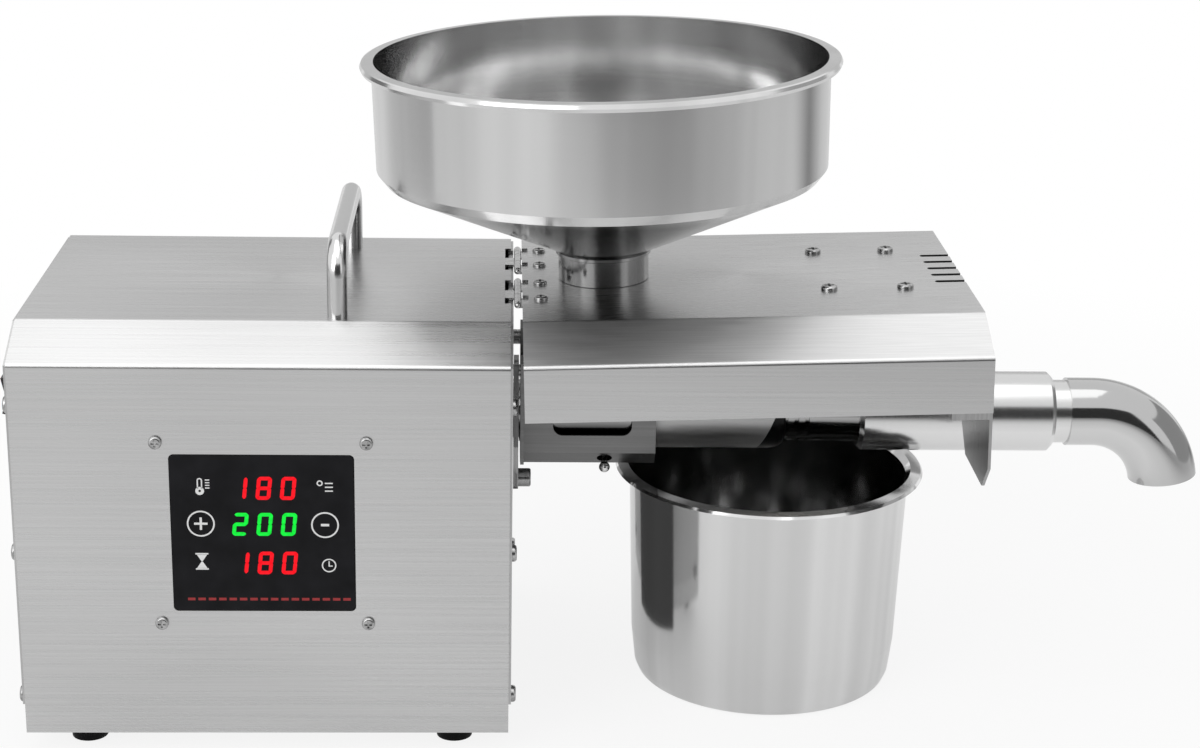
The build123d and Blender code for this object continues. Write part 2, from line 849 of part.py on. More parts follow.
def motor_can():
    y, z = motor_place()
    can = along_x(motor_radius, motor_start + 3, motor_end, y, z)
    can -= along_x(motor_radius - motor_wall, motor_start, motor_end - 5, y, z)
    can -= along_x(motor_shaft_radius + bearing_wall, motor_end - 6, motor_end + 1, y, z)
    return can


def motor_end_bell():
    """Rear bearing shield with air windows."""
    y, z = motor_place()
    x1 = motor_start + 3
    bell = along_x(motor_radius, x1 - 3, x1, y, z)
    bell += along_x(11, x1, x1 + 5, y, z)
    bell -= along_x(motor_shaft_radius + bearing_wall, x1 - 1, x1 + 6, y, z)
    bell -= along_x(motor_shaft_radius + 1, x1 - 4, x1, y, z)
    for k in range(6):
        a = radians(60 * k + 30)
        bell -= along_x(6, x1 - 4, x1 + 1, y + 22 * cos(a), z + 22 * sin(a))
    return bell


def stator_core():
    y, z = motor_place()
    x0 = motor_start + 20
    core = along_x(motor_radius - motor_wall, x0, x0 + core_length, y, z)
    return core - along_x(stator_bore, x0 - 1, x0 + core_length + 1, y, z)


def motor_bearings():
    y, z = motor_place()
    rear = bearing((y, z), motor_shaft_radius, motor_start + 3 - 0.9)
    front = bearing((y, z), motor_shaft_radius, motor_end - bearing_width - 0.4)
    return [rear, front]


def motor_rotor():
    y, z = motor_place()
    x0 = motor_start + 20
    rotor = along_x(stator_bore - rotor_gap, x0, x0 + core_length, y, z)
    rotor += along_x(motor_shaft_radius, motor_start - 14, motor_end - 1, y, z)
    return rotor + along_x(motor_shaft_radius - 0.6, motor_end - 1, fine_gear_x + 8, y, z)


def motor_fan():
    """Cooling fan pushed on the rear shaft end."""
    y, z = motor_place()
    x0 = motor_start - 13
    fan = along_x(9, x0, x0 + fan_width, y, z)
    fan += along_x(fan_radius - 1, x0 + fan_width - 1.5, x0 + fan_width, y, z)
    blade = span(x0, x0 + fan_width - 1, -0.8, 0.8, 7, fan_radius)
    for k in range(fan_blades):
        fan += Pos(0, y, z) * Rot(360 / fan_blades * k, 0, 0) * blade
    return fan - along_x(motor_shaft_radius, x0 - 1, x0 + fan_width + 1, y, z)


# Barrel line

def barrel_seat():
    """Socket bolted to the case, carrying the barrel's spigot."""
    flange_end = gearbox_end + seat_flange_thickness
    seat = along_x(seat_flange_radius, gearbox_end, flange_end)
    seat += along_x(seat_radius, flange_end, housing_length - 0.2)
    seat -= along_x(output_shaft_radius + 0.5, gearbox_end - 1, spigot_start)
    seat -= along_x(spigot_radius + seat_fit, spigot_start, housing_length + 1)
    for y, z in seat_bolt_places():
        seat -= along_x(screw_radius, gearbox_end - 1, flange_end + 1, y, z)
    return seat


def seat_bolts():
    places = [(gearbox_end + seat_flange_thickness, y, z) for y, z in seat_bolt_places()]
    return pan_screws(places, (1, 0, 0), seat_flange_thickness + 4, 2.8, 2.6)


def right_end_plate():
    plate = end_plate(housing_length)
    plate -= along_x(spigot_radius + 0.6, housing_length - 1, plate_outer + 1)
    for y in hinge_places:
        plate -= span(housing_length - 1, plate_outer + 1, y - hinge_length / 2 - 0.3,
                      y + hinge_length / 2 + 0.3, hinge_z - knuckle_radius - 0.3, top_z + 1)
    for y, z in bracket_screw_places() + [lever_pivot_place()]:
        plate -= along_x(screw_radius, housing_length - 1, plate_outer + 1, y, z)
    return plate


def press_barrel():
    """Feed body, drained cage with cooling rings and a threaded end, on one spigot."""
    groove_end = groove_start + groove_width
    low = spigot_radius - groove_depth
    outline = [(spigot_start, barrel_bore), (spigot_start, spigot_radius),
               (groove_start, spigot_radius), (groove_start, low), (groove_end, low),
               (groove_end, spigot_radius), (feed_start, spigot_radius),
               (feed_start, feed_body_radius), (cage_start, feed_body_radius),
               (cage_start, cage_radius), (nose_end - 3, cage_radius), (nose_end - 3, rib_core)]
    for k in range(rib_count):
        x = rib_start + k * rib_pitch
        outline += [(x, rib_core), (x, rib_radius), (x + rib_width, rib_radius),
                    (x + rib_width, rib_core)]
    last = rib_start + (rib_count - 1) * rib_pitch + rib_width
    outline[-1] = (last, plain_radius)
    outline += [(sleeve_start + sleeve_grip, plain_radius), (sleeve_start + sleeve_grip, barrel_bore)]
    barrel = turned_x(outline)
    port_top = top_z - sheet - 1.4
    port = rod(feed_body_radius, (feed_x, 0, axis_z), (feed_x, 0, port_top))
    barrel += port - along_x(barrel_bore, feed_x - 30, feed_x + 30)
    barrel -= rod(port_bore, (feed_x, 0, axis_z + feed_body_radius), (feed_x, 0, port_top + 1))
    barrel -= rod(barrel_bore, (feed_x, 0, axis_z), (feed_x, 0, port_top + 1))
    barrel -= rod(pin_radius, *pin_line())
    for k in range(oil_slot_count):
        x = cage_start + 8 + k * oil_slot_pitch
        barrel -= span(x, x + oil_slot_width, -cage_radius, cage_radius, axis_z - cage_radius - 1,
                       axis_z - barrel_bore * 0.55)
    return barrel


def jacket_cut(grow):
    """Half space right of the leaning end of the jacket."""
    plane = Plane(origin=(jacket_end_low + grow, 0, axis_z - jacket_radius),
                  z_dir=(cos(radians(jacket_end_lean)), 0, -sin(radians(jacket_end_lean))))
    return extrude(plane * Rectangle(160, 160), amount=80)


def jacket_tube():
    tube = along_x(jacket_radius, cage_start, nose_end)
    return tube - along_x(cage_radius + jacket_gap, cage_start - 1, nose_end + 1)


def heater_jacket():
    """Steel heating sleeve over the cage, cut off on a slant."""
    return jacket_tube() - jacket_cut(0)


def drip_nose():
    """Dark end ring where the oil leaves, rounded down to the ribs."""
    inner = cage_radius + jacket_gap
    small = rib_core + jacket_gap
    fall = jacket_radius - small
    round_start = nose_end - 1.8 * fall
    outline = [(nose_end, small), (nose_end - 2.6, small), (nose_end - 2.6, inner),
               (jacket_end_low - 1, inner), (jacket_end_low - 1, jacket_radius)]
    for k in range(6):
        a = radians(18 * k)
        outline.append((round_start + (nose_end - round_start) * sin(a), small + fall * cos(a)))
    ring = turned_x(outline)
    ring = ring & jacket_cut(0)
    drip_x = jacket_end_low + 5
    return ring - rod(1.8, (drip_x, 0, axis_z - jacket_radius - 1), (drip_x, 0, axis_z - inner + 1))


def end_sleeve():
    """Polished end sleeve screwed on the barrel, with the neck for the elbow."""
    bore = plain_radius
    grip_end = sleeve_start + sleeve_grip
    wall = elbow_radius - elbow_wall
    spigot_end = elbow_start + spigot_into_elbow
    return turned_x([(sleeve_start, bore), (sleeve_start, sleeve_radius - sleeve_chamfer),
                     (sleeve_start + sleeve_chamfer, sleeve_radius),
                     (sleeve_end - sleeve_chamfer, sleeve_radius),
                     (sleeve_end, sleeve_radius - sleeve_chamfer), (sleeve_end, neck_radius),
                     (elbow_start, neck_radius), (elbow_start, wall), (spigot_end, wall),
                     (spigot_end, cake_bore), (grip_end, cake_bore), (grip_end, bore)])


def outlet_elbow():
    """Bent outlet tube for the pressed cake."""
    bend_x = elbow_start + elbow_straight
    straight = Line((elbow_start, 0, axis_z), (bend_x, 0, axis_z))
    turn = CenterArc((0, 0, 0), elbow_bend, 90, -elbow_sweep)
    turn = Plane(origin=(bend_x, 0, axis_z - elbow_bend), x_dir=(1, 0, 0), z_dir=(0, -1, 0)) * turn
    path = Wire([straight.edge(), turn.edge()])
    section = Plane(origin=(elbow_start, 0, axis_z), z_dir=(1, 0, 0)) * (
        Circle(elbow_radius) - Circle(elbow_radius - elbow_wall))
    return sweep(section, path=path)


def auger():
    """Press screw: hexagon tail, journal, helical flight on a root that grows, and a nose cone."""
    journal = barrel_bore - running_gap
    nose_start = flight_end + 1
    root = turned_x([(hex_start + 24, 0), (hex_start + 24, hex_flats / 2), (journal_start, hex_flats / 2),
                     (journal_start, journal), (journal_end, journal), (journal_end + 2, root_small),
                     (flight_start + flight_pitch, root_small), (flight_end, root_large),
                     (nose_start, root_large), (nose_start + nose_length, 3), (nose_start + nose_length, 0)])
    tail_plane = Plane(origin=(hex_start, 0, axis_z), z_dir=(1, 0, 0))
    tail = extrude(tail_plane * RegularPolygon(hex_flats / 2, 6, major_radius=False),
                   amount=journal_start - hex_start)
    tip = barrel_bore - flight_gap
    low = root_small - 1.5
    length = flight_end - flight_start
    helix = Helix(pitch=flight_pitch, height=length, radius=low)
    helix = Plane(origin=(flight_start, 0, axis_z), z_dir=(1, 0, 0)) * helix
    start = helix @ 0
    section_plane = Plane(origin=start, x_dir=(start - Vector(flight_start, 0, axis_z)).normalized(),
                          z_dir=helix % 0)
    half = flight_thickness / 2
    profile = Polyline((0, -half - 0.5), (tip - low, -half + 0.5), (tip - low, half - 0.5),
                       (0, half + 0.5), close=True)
    flight = sweep(section_plane * make_face(profile), path=helix, is_frenet=True)
    trimmed = flight & along_x(tip, flight_start, flight_end)
    return root + tail + trimmed


# Bracket under the feed body, and the lock lever

bracket_start = plate_outer + bracket_stand_off
bracket_end = feed_start + feed_body_length + 0.6
bracket_floor_z = base_z + bracket_floor
bracket_top_z = base_z + bracket_rise
ear_top_z = base_z + bracket_ear_rise


def bracket_section(grow):
    half = bracket_half_width + grow
    low = bracket_floor_z - grow
    cut = bracket_corner
    return [(-half, bracket_top_z), (-half, low + cut), (-half + cut, low), (half - cut, low),
            (half, low + cut), (half, bracket_top_z)]


def support_bracket():
    """Folded channel that carries the feed body, with windows in both walls."""
    outer = cross_section(bracket_section(0), bracket_start, bracket_end)
    inner_points = bracket_section(-bracket_sheet)
    inner = cross_section(inner_points, bracket_start - 1, bracket_end + 1)
    inner += span(bracket_start - 1, bracket_end + 1, -bracket_half_width + bracket_sheet,
                  bracket_half_width - bracket_sheet, axis_z, bracket_top_z + 1)
    channel = outer - inner
    x0 = bracket_start + window_left
    window = span(x0, x0 + window_length, -40, 40, base_z + window_floor,
                  base_z + window_floor + window_height)
    channel -= fillet(window.edges().filter_by(Axis.Y), window_corner)
    ear_y = bracket_half_width + bracket_ear
    for side in (-1, 1):
        y0, y1 = sorted((side * (bracket_half_width - bracket_sheet), side * ear_y))
        channel += span(bracket_start, bracket_start + bracket_sheet, y0, y1,
                        base_z + bracket_ear_floor, ear_top_z)
        x, y, z = pin_place(side)
        channel -= rod(pin_hole_radius, (x, y - side * 8, z + 8), (x, y + side * 8, z - 8))
    for y, z in bracket_screw_places() + [lever_pivot_place()]:
        channel -= along_x(screw_radius, bracket_start - 1, bracket_start + 3, y, z)
    return channel


def pin_place(side):
    half = bracket_half_width - bracket_corner / 2
    return feed_x + 1, side * half, bracket_floor_z + bracket_corner / 2


def bracket_screw_places():
    """Both screws of the far ear. The near ear hangs on the lever's pivot screw."""
    y = bracket_half_width + bracket_ear / 2
    return [(y, base_z + bracket_ear_floor + 6), (y, ear_top_z - 6)]


def bracket_screws():
    """Screws through the ears, with a spacer behind each ear."""
    screws = []
    seat = bracket_start + bracket_sheet
    for y, z in bracket_screw_places():
        head = pan_screws([(seat, y, z)], (1, 0, 0), seat - housing_length + 4, 2.7, 1.6)[0]
        spacer = along_x(3.2, plate_outer, bracket_start, y, z)
        screws.append(head + spacer)
    return screws


def locating_pin():
    """Ball-headed pin in the near shoulder of the bracket, screwed to the feed body."""
    root, end = pin_line()
    return Pos(*end) * Sphere(pin_ball_radius) + rod(pin_radius, root, end)


def pin_line():
    """Where the pin starts in the feed body wall and where its ball is."""
    x, y, z = pin_place(-1)
    ball_y, ball_z = y - pin_ball_out, z - pin_ball_drop
    reach = (ball_y ** 2 + (ball_z - axis_z) ** 2) ** 0.5
    share = (feed_body_radius - 3) / reach
    return (x, ball_y * share, axis_z + (ball_z - axis_z) * share), (x, ball_y, ball_z)


def lever_pivot_place():
    return lever_pivot_y, axis_z + lever_pivot_rise


def lock_lever():
    """Hanging strip whose edge drops into the barrel's groove, with a knob at its foot."""
    x0 = plate_outer + lever_gap
    x1 = x0 + lever_thickness
    pivot_z = axis_z + lever_pivot_rise
    half = lever_width / 2
    foot_z = base_z + lever_foot_z
    low = foot_z - knob_radius
    bite = -(spigot_radius - groove_depth) - lever_gap
    outline = [(lever_foot_y - half, low), (lever_foot_y + half, low),
               (lever_foot_y + half, axis_z - 9), (bite, axis_z - 4), (bite, axis_z + 4),
               (lever_pivot_y + half, axis_z + 10), (lever_pivot_y + half, pivot_z + half),
               (lever_pivot_y - half, pivot_z + half), (lever_foot_y - half, axis_z - 6)]
    lever = cross_section(outline, x0, x1)
    corners = [e for e in lever.edges().filter_by(Axis.X)
               if e.center().Z < low + 1 or e.center().Z > pivot_z + 1]
    lever = fillet(corners, 2.4)
    lever -= along_x(lever_pivot_radius + running_gap, x0 - 1, x1 + 1, lever_pivot_y, pivot_z)
    knob = along_x(knob_radius, x1, x1 + knob_length, lever_foot_y, foot_z)
    rim = knob.edges().filter_by(GeomType.CIRCLE).sort_by(Axis.X)[-1]
    return lever + chamfer(rim, 0.5)


def lever_pivot():
    """Shoulder screw that the lever swings on, which also holds the near ear."""
    y, z = lever_pivot_place()
    seat = bracket_start + bracket_sheet
    screw = pan_screws([(seat, y, z)], (1, 0, 0), seat - housing_length + 3, 2.7, 1.6)[0]
    return screw + along_x(lever_pivot_radius, plate_outer, bracket_start, y, z)


# Hinges between the housing and the hood

def knuckles(y, parts):
    """Ends of some of a hinge's three knuckles, counted from the front."""
    step = hinge_length / 3
    starts = [y - hinge_length / 2 + k * step + knuckle_gap / 2 for k in parts]
    return [(y0, y0 + step - knuckle_gap) for y0 in starts]


def hinge_half(y, parts, leaf_edge, leaf_end, bore):
    """A leaf under its sheet, with fingers from the leaf's edge out to its knuckles."""
    under = hinge_z - knuckle_radius
    x0, x1 = sorted((leaf_edge, leaf_end))
    half = span(x0, x1, y - hinge_length / 2, y + hinge_length / 2, under, under + hinge_leaf)
    for y0, y1 in knuckles(y, parts):
        x0, x1 = sorted((leaf_edge, hinge_x))
        half += span(x0, x1, y0, y1, under, under + hinge_leaf)
        half += rod(knuckle_radius, (hinge_x, y0, hinge_z), (hinge_x, y1, hinge_z))
    return half - rod(bore, (hinge_x, y - hinge_length, hinge_z), (hinge_x, y + hinge_length, hinge_z))


def housing_hinge_leaves():
    edge = housing_length - hinge_notch - 0.2
    return [hinge_half(y, (1,), edge, edge - hinge_leaf_length, hinge_pin_radius)
            for y in hinge_places]


def hinge_pins():
    pins = []
    for y in hinge_places:
        near, far = y - hinge_length / 2 - 0.2, y + hinge_length / 2 + 0.2
        pin = rod(hinge_pin_radius, (hinge_x, near, hinge_z), (hinge_x, far, hinge_z))
        for end in (near - 0.6, far + 0.6):
            pin += Pos(hinge_x, end, hinge_z) * Sphere(knuckle_radius * 0.8)
        pins.append(pin)
    return pins


# Hood pieces are drawn level with the housing top and then tipped about the hinge line

rise_angle = radians(hood_tilt)


def tipped(solid):
    """Turn a level piece up about the hinge line."""
    level = Pos(-hinge_x, 0, -hinge_z) * solid
    return Pos(hinge_x, 0, hinge_z) * Rot(0, -hood_tilt, 0) * level


def level_height(x, z):
    """Height in the level drawing of a point that is at x, z once tipped."""
    dx, dz = x - hinge_x, z - hinge_z
    return hinge_z + dz * cos(rise_angle) - dx * sin(rise_angle)


def hood_screw_places():
    return rectangle_places([hood_start + x for x in hood_screw_x], hood_screw_y)


def hinge_screw_places():
    return [(hood_start + hinge_screw_x, y + side * hinge_screw_pitch / 2)
            for y in hinge_places for side in (-1, 1)]


def hood_vents(z0, z1, x1):
    slots = []
    for k in range(hood_vent_count):
        y = hood_middle_y + (k - (hood_vent_count - 1) / 2) * hood_vent_pitch
        x0 = hood_start + hood_vent_start
        slot = span(x0, x1, y - hood_vent_width / 2, y + hood_vent_width / 2, z0, z1)
        slots.append(fillet(slot.edges().filter_by(Axis.Z).sort_by(Axis.X)[:2], 1.3))
    return slots


def hood_shell():
    """Folded sheet roof with its hinge notches, spout hole, screw holes and vents."""
    low = top_z - shoulder_drop - hood_skirt
    shell = folded_roof(hood_start, hood_end, low, top_z)
    shell -= rod(spout_hole_radius, (feed_x, 0, top_z - 3), (feed_x, 0, top_z + 1))
    for y in hinge_places:
        for y0, y1 in knuckles(y, (0, 2)):
            shell -= span(hood_start - 1, hood_start + hinge_notch, y0 - 0.3, y1 + 0.3,
                          top_z - sheet, top_z + 1)
    for x, y in hood_screw_places() + hinge_screw_places():
        shell -= rod(screw_radius, (x, y, top_z - 3), (x, y, top_z + 1))
    for slot in hood_vents(top_z - 3, top_z + 1, hood_end + 1):
        shell -= slot
    return tipped(shell)


def hood_end_plate():
    """Plate closing the hood's right end, slotted over the barrel and tabbed to the skirts."""
    x0, x1 = hood_end - hood_plate, hood_end
    floor = level_height(hood_end, base_z + hood_plate_floor)
    slot_z = level_height(hood_end, axis_z)
    outline = hood_profile(floor, top_z, -sheet)
    plate = cross_section(outline, x0, x1)
    corners = [e for e in plate.edges().filter_by(Axis.X) if e.center().Z < floor + 1]
    plate = chamfer(corners, hood_plate_corner)
    mouth = hood_slot_radius + hood_slot_mouth
    lip = [(-hood_slot_radius, floor + hood_slot_mouth), (-mouth, floor - 1), (mouth, floor - 1),
           (hood_slot_radius, floor + hood_slot_mouth)]
    plate -= cross_section(lip, x0 - 1, x1 + 1)
    plate -= span(x0 - 1, x1 + 1, -hood_slot_radius, hood_slot_radius, floor - 1, slot_z)
    plate -= along_x(hood_slot_radius, x0 - 1, x1 + 1, 0, slot_z)
    skirt_low = top_z - shoulder_drop - hood_skirt
    for side in (-1, 1):
        y0, y1 = sorted((side * inside_half, side * (inside_half - hood_plate)))
        plate += span(x1 - hood_plate_tab, x1, y0, y1, skirt_low - 3, skirt_low + 18)
    for slot in hood_vents(top_z - hood_vent_down, top_z + 1, hood_end + 1):
        plate -= slot
    return tipped(plate)


def hood_hinge_leaves():
    leaves = []
    edge = hood_start + hinge_notch + 0.2
    for y in hinge_places:
        leaf = hinge_half(y, (0, 2), edge, edge + hinge_leaf_length, hinge_pin_radius + running_gap)
        for x, sy in hinge_screw_places():
            leaf -= rod(screw_radius, (x, sy, top_z - 6), (x, sy, top_z))
        leaves.append(tipped(leaf))
    return leaves


def hood_hinge_screws():
    places = [(x, y, top_z) for x, y in hinge_screw_places()]
    screws = pan_screws(places, (0, 0, 1), sheet + hinge_leaf + 2.8, 2.8, 1.4)
    pairs = []
    for screw, (x, y, z) in zip(screws, places):
        under = z - sheet - hinge_leaf
        nut = extrude(Plane(origin=(x, y, under - 2.2)) * RegularPolygon(2.9, 6), amount=2.2)
        pairs.append(tipped(screw + nut))
    return pairs


def hood_top_screws():
    """Screws through the roof, with spacers that hang the reflector."""
    places = [(x, y, top_z) for x, y in hood_screw_places()]
    screws = pan_screws(places, (0, 0, 1), sheet + reflector_drop + 3.0)
    hung = []
    for screw, (x, y, z) in zip(screws, places):
        spacer = rod(3.2, (x, y, top_z - sheet - reflector_drop), (x, y, top_z - sheet))
        under = top_z - sheet - reflector_drop - reflector_sheet
        nut = extrude(Plane(origin=(x, y, under - 2.2)) * RegularPolygon(2.9, 6), amount=2.2)
        hung.append(tipped(screw + spacer + nut))
    return hung


def heater_reflector():
    """Folded trough above the heater tubes."""
    top = top_z - sheet - reflector_drop
    x0 = hood_start + reflector_start
    half = reflector_width / 2
    flat = half - reflector_slope
    t = reflector_sheet
    lip = reflector_lip
    outline = [(-half, top - lip), (-flat, top), (flat, top), (half, top - lip),
               (half - t, top - lip), (flat - t * 0.4, top - t), (-flat + t * 0.4, top - t),
               (-half + t, top - lip)]
    trough = cross_section(outline, x0, x0 + reflector_length)
    for x, y in hood_screw_places():
        trough -= rod(screw_radius, (x, y, top - 3), (x, y, top + 1))
    return tipped(trough)


tube_z = top_z - sheet - reflector_drop - reflector_sheet - tube_drop


def heater_tubes():
    x0 = hood_start + reflector_start + 2
    x1 = x0 + reflector_length - 4
    tubes = []
    for y in (-tube_spread, tube_spread):
        glass = rod(tube_radius, (x0 + tube_cap, y, tube_z), (x1 - tube_cap, y, tube_z))
        for a, b in ((x0, x0 + tube_cap), (x1 - tube_cap, x1)):
            glass += rod(tube_radius + 1.2, (a, y, tube_z), (b, y, tube_z))
        tubes.append(tipped(glass))
    return tubes


def heater_clips():
    """Sheet clips that hold the tubes under the reflector."""
    clips = []
    x_left = hood_start + reflector_start + 2 + tube_cap + 1
    x_right = hood_start + reflector_start + reflector_length - 2 - tube_cap - 1 - clip_width
    roof = top_z - sheet - reflector_drop - reflector_sheet
    for x in (x_left, x_right):
        for y in (-tube_spread, tube_spread):
            ring = along_x(tube_radius + 1.0, x, x + clip_width, y, tube_z)
            ring += span(x, x + clip_width, y - 1.5, y + 1.5, tube_z, roof)
            clips.append(tipped(ring - along_x(tube_radius, x - 1, x + clip_width + 1, y, tube_z)))
    return clips


# Hopper, square to the tipped hood

def hopper():
    """Spun steel hopper: spout, collar, bead, cone, band and rolled rim."""
    t = hopper_wall
    base = seat_gap
    bead_low = collar_height
    bead_top = bead_low + bead_height
    outline = [(spout_radius - t, -spout_depth), (spout_radius, -spout_depth), (spout_radius, base),
               (collar_radius, base), (collar_radius, bead_low), (bead_radius, bead_low + 0.5),
               (bead_radius, bead_top - 0.5), (collar_radius + 0.3, bead_top),
               (cone_top_radius, cone_top), (band_low_radius, cone_top + 4.2),
               (band_top_radius, rim_height - 1.2), (rim_radius, rim_height - rim_roll - 1.4),
               (rim_radius + 0.6, rim_height - rim_roll), (rim_radius, rim_height - 0.3),
               (rim_radius - 0.8, rim_height), (band_top_radius - t, rim_height + 0.2),
               (band_low_radius - t, cone_top + 4.5), (cone_top_radius - 0.6, cone_top + t),
               (collar_radius - t, bead_top + t), (collar_radius - t, base + t),
               (spout_radius - t, base + t)]
    return tipped(turned_z(outline, feed_x, top_z))


# Pot on the table

def oil_pot():
    """Drawn steel pot with a flat lip."""
    t = pot_wall
    c = pot_base_corner
    outline = [(0, 0), (pot_base_radius - c, 0), (pot_base_radius - 0.3 * c, 0.3 * c),
               (pot_base_radius, c), (pot_waist_radius, pot_waist_height),
               (pot_mouth_radius, pot_height - 3.4), (pot_mouth_radius + 1.4, pot_height - 1.6),
               (pot_lip_radius - 0.8, pot_height - pot_lip_fall - 0.4),
               (pot_lip_radius, pot_height - pot_lip_fall),
               (pot_lip_radius - 0.8, pot_height - 0.5), (pot_mouth_radius + 1.0, pot_height),
               (pot_mouth_radius - t, pot_height - 2.6), (pot_waist_radius - t, pot_waist_height),
               (pot_base_radius - t, c + 0.5), (pot_base_radius - c, t), (0, t)]
    return turned_z(outline, pot_middle_x, 0)


# The origin is on the table, below the middle of the whole length

left_extreme = -end_plate_thickness - bezel_proud - rocker_hump
right_extreme = elbow_start + elbow_straight + (elbow_bend + elbow_radius) * sin(radians(elbow_sweep))
middle_x = (left_extreme + right_extreme) / 2

save("housing_shell", housing_shell())
save("base_tray", base_tray())
save("left_end_plate", left_end_plate())
save("right_end_plate", right_end_plate())
left_places = [(-end_plate_thickness, y, z) for y, z in end_screw_places()]
right_places = [(plate_outer, y, z) for y, z in end_screw_places()]
save("left_plate_screws", *pan_screws(left_places, (-1, 0, 0), screw_length))
save("right_plate_screws", *pan_screws(right_places, (1, 0, 0), screw_length))
save("rubber_feet", *rubber_feet())
save("foot_screws", *foot_screws())
save("carry_handle", carry_handle())
save("handle_screws", *handle_screws())
save("control_panel", control_panel())
save("control_board", control_board())
save("display_modules", *display_modules())
save("panel_screws", *panel_screws())
save("power_inlet", power_inlet())
save("motor_switch_bezel", switch_bezel(motor_switch_y))
save("heater_switch_bezel", switch_bezel(heater_switch_y))
save("motor_switch_rocker", switch_rocker(motor_switch_y))
save("heater_switch_rocker", switch_rocker(heater_switch_y, heater_rocker_lean))
save("power_board", power_board())
save("gearbox_housing", gearbox_housing())
save("gearbox_cover", gearbox_cover())
save("gearbox_bolts", *gearbox_bolts())
save("gear_bearings", *gear_bearings())
save("output_gear", output_gear())
save("output_shaft", output_shaft())
save("layshaft", layshaft())
save("layshaft_gear", layshaft_gear())
save("motor_pinion", motor_pinion())
save("motor_can", motor_can())
save("motor_end_bell", motor_end_bell())
save("stator_core", stator_core())
save("motor_bearings", *motor_bearings())
save("motor_rotor", motor_rotor())
save("motor_fan", motor_fan())
save("barrel_seat", barrel_seat())
save("seat_bolts", *seat_bolts())
save("press_barrel", press_barrel())
save("heater_jacket", heater_jacket())
save("drip_nose", drip_nose())
save("end_sleeve", end_sleeve())
save("outlet_elbow", outlet_elbow())
save("auger", auger())
save("support_bracket", support_bracket())
save("bracket_screws", *bracket_screws())
save("locating_pin", locating_pin())
save("lock_lever", lock_lever())
save("lever_pivot", lever_pivot())
save("housing_hinge_leaves", *housing_hinge_leaves())
save("hinge_pins", *hinge_pins())
save("hood_shell", hood_shell())
save("hood_end_plate", hood_end_plate())
save("hood_hinge_leaves", *hood_hinge_leaves())
save("hood_hinge_screws", *hood_hinge_screws())
save("hood_top_screws", *hood_top_screws())
save("heater_reflector", heater_reflector())
save("heater_tubes", *heater_tubes())
save("heater_clips", *heater_clips())
save("hopper", hopper())
save("oil_pot", oil_pot())
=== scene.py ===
from math import cos, pi, radians, sin
import bmesh
import bpy
from mathutils import Matrix, Vector


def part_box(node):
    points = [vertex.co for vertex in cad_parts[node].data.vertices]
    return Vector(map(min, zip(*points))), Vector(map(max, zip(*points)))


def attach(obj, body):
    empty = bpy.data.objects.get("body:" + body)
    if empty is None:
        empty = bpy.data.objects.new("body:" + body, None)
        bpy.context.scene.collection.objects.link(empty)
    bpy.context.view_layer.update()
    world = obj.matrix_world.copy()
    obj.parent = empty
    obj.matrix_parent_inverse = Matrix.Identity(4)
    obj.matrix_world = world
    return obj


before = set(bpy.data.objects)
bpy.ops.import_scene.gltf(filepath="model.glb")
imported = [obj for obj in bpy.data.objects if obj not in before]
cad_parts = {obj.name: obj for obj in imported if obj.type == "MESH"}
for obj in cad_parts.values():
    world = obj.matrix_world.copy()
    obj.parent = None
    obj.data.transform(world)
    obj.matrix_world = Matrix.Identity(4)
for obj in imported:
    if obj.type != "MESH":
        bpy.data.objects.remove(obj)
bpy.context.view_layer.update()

# The housing is one stainless sheet folded over the front, shoulders, top and back, with a tray of
# the same sheet below. Both are brushed along the length, so the grain runs from end to end and
# the folds catch the light.


def steel(name, tone, roughness):
    """A bare steel material with its shader, ready for grain and shading."""
    mat = bpy.data.materials.new(name)
    mat.use_nodes = True
    shader = mat.node_tree.nodes["Principled BSDF"]
    shader.inputs["Metallic"].default_value = 1.0
    shader.inputs["Base Color"].default_value = (*tone, 1)
    shader.inputs["Roughness"].default_value = roughness
    return mat, mat.node_tree.nodes, mat.node_tree.links, shader


def place_noise(nodes, links, stretch, detail):
    """Noise in the row frame, stretched by a factor along each axis."""
    where = nodes.new("ShaderNodeTexCoord")
    mapping = nodes.new("ShaderNodeMapping")
    mapping.inputs["Scale"].default_value = stretch
    noise = nodes.new("ShaderNodeTexNoise")
    noise.inputs["Scale"].default_value = 1.0
    noise.inputs["Detail"].default_value = detail
    links.new(where.outputs["Object"], mapping.inputs["Vector"])
    links.new(mapping.outputs["Vector"], noise.inputs["Vector"])
    return noise


def ramp(nodes, links, source, stops):
    """Colours along a 0 to 1 value."""
    band = nodes.new("ShaderNodeValToRGB")
    while len(band.color_ramp.elements) < len(stops):
        band.color_ramp.elements.new(0.5)
    for element, (at, tone) in zip(band.color_ramp.elements, stops):
        element.position = at
        element.color = (*tone, 1) if len(tone) == 3 else tone
    links.new(source, band.inputs["Fac"])
    return band


def spread(nodes, links, source, low, high):
    """A 0 to 1 value spread over another range."""
    out = nodes.new("ShaderNodeMapRange")
    out.inputs["To Min"].default_value = low
    out.inputs["To Max"].default_value = high
    links.new(source, out.inputs["Value"])
    return out.outputs["Result"]


def grain_bump(nodes, links, source, shader, strength, depth):
    """Fine relief from a 0 to 1 value, depth in metres."""
    bump = nodes.new("ShaderNodeBump")
    bump.inputs["Strength"].default_value = strength
    bump.inputs["Distance"].default_value = depth
    links.new(source, bump.inputs["Height"])
    links.new(bump.outputs["Normal"], shader.inputs["Normal"])


def grey(level, warm=0.0):
    """A neutral colour, or one that leans to the warm side."""
    return (level * (1 + warm), level, level * (1 - warm))


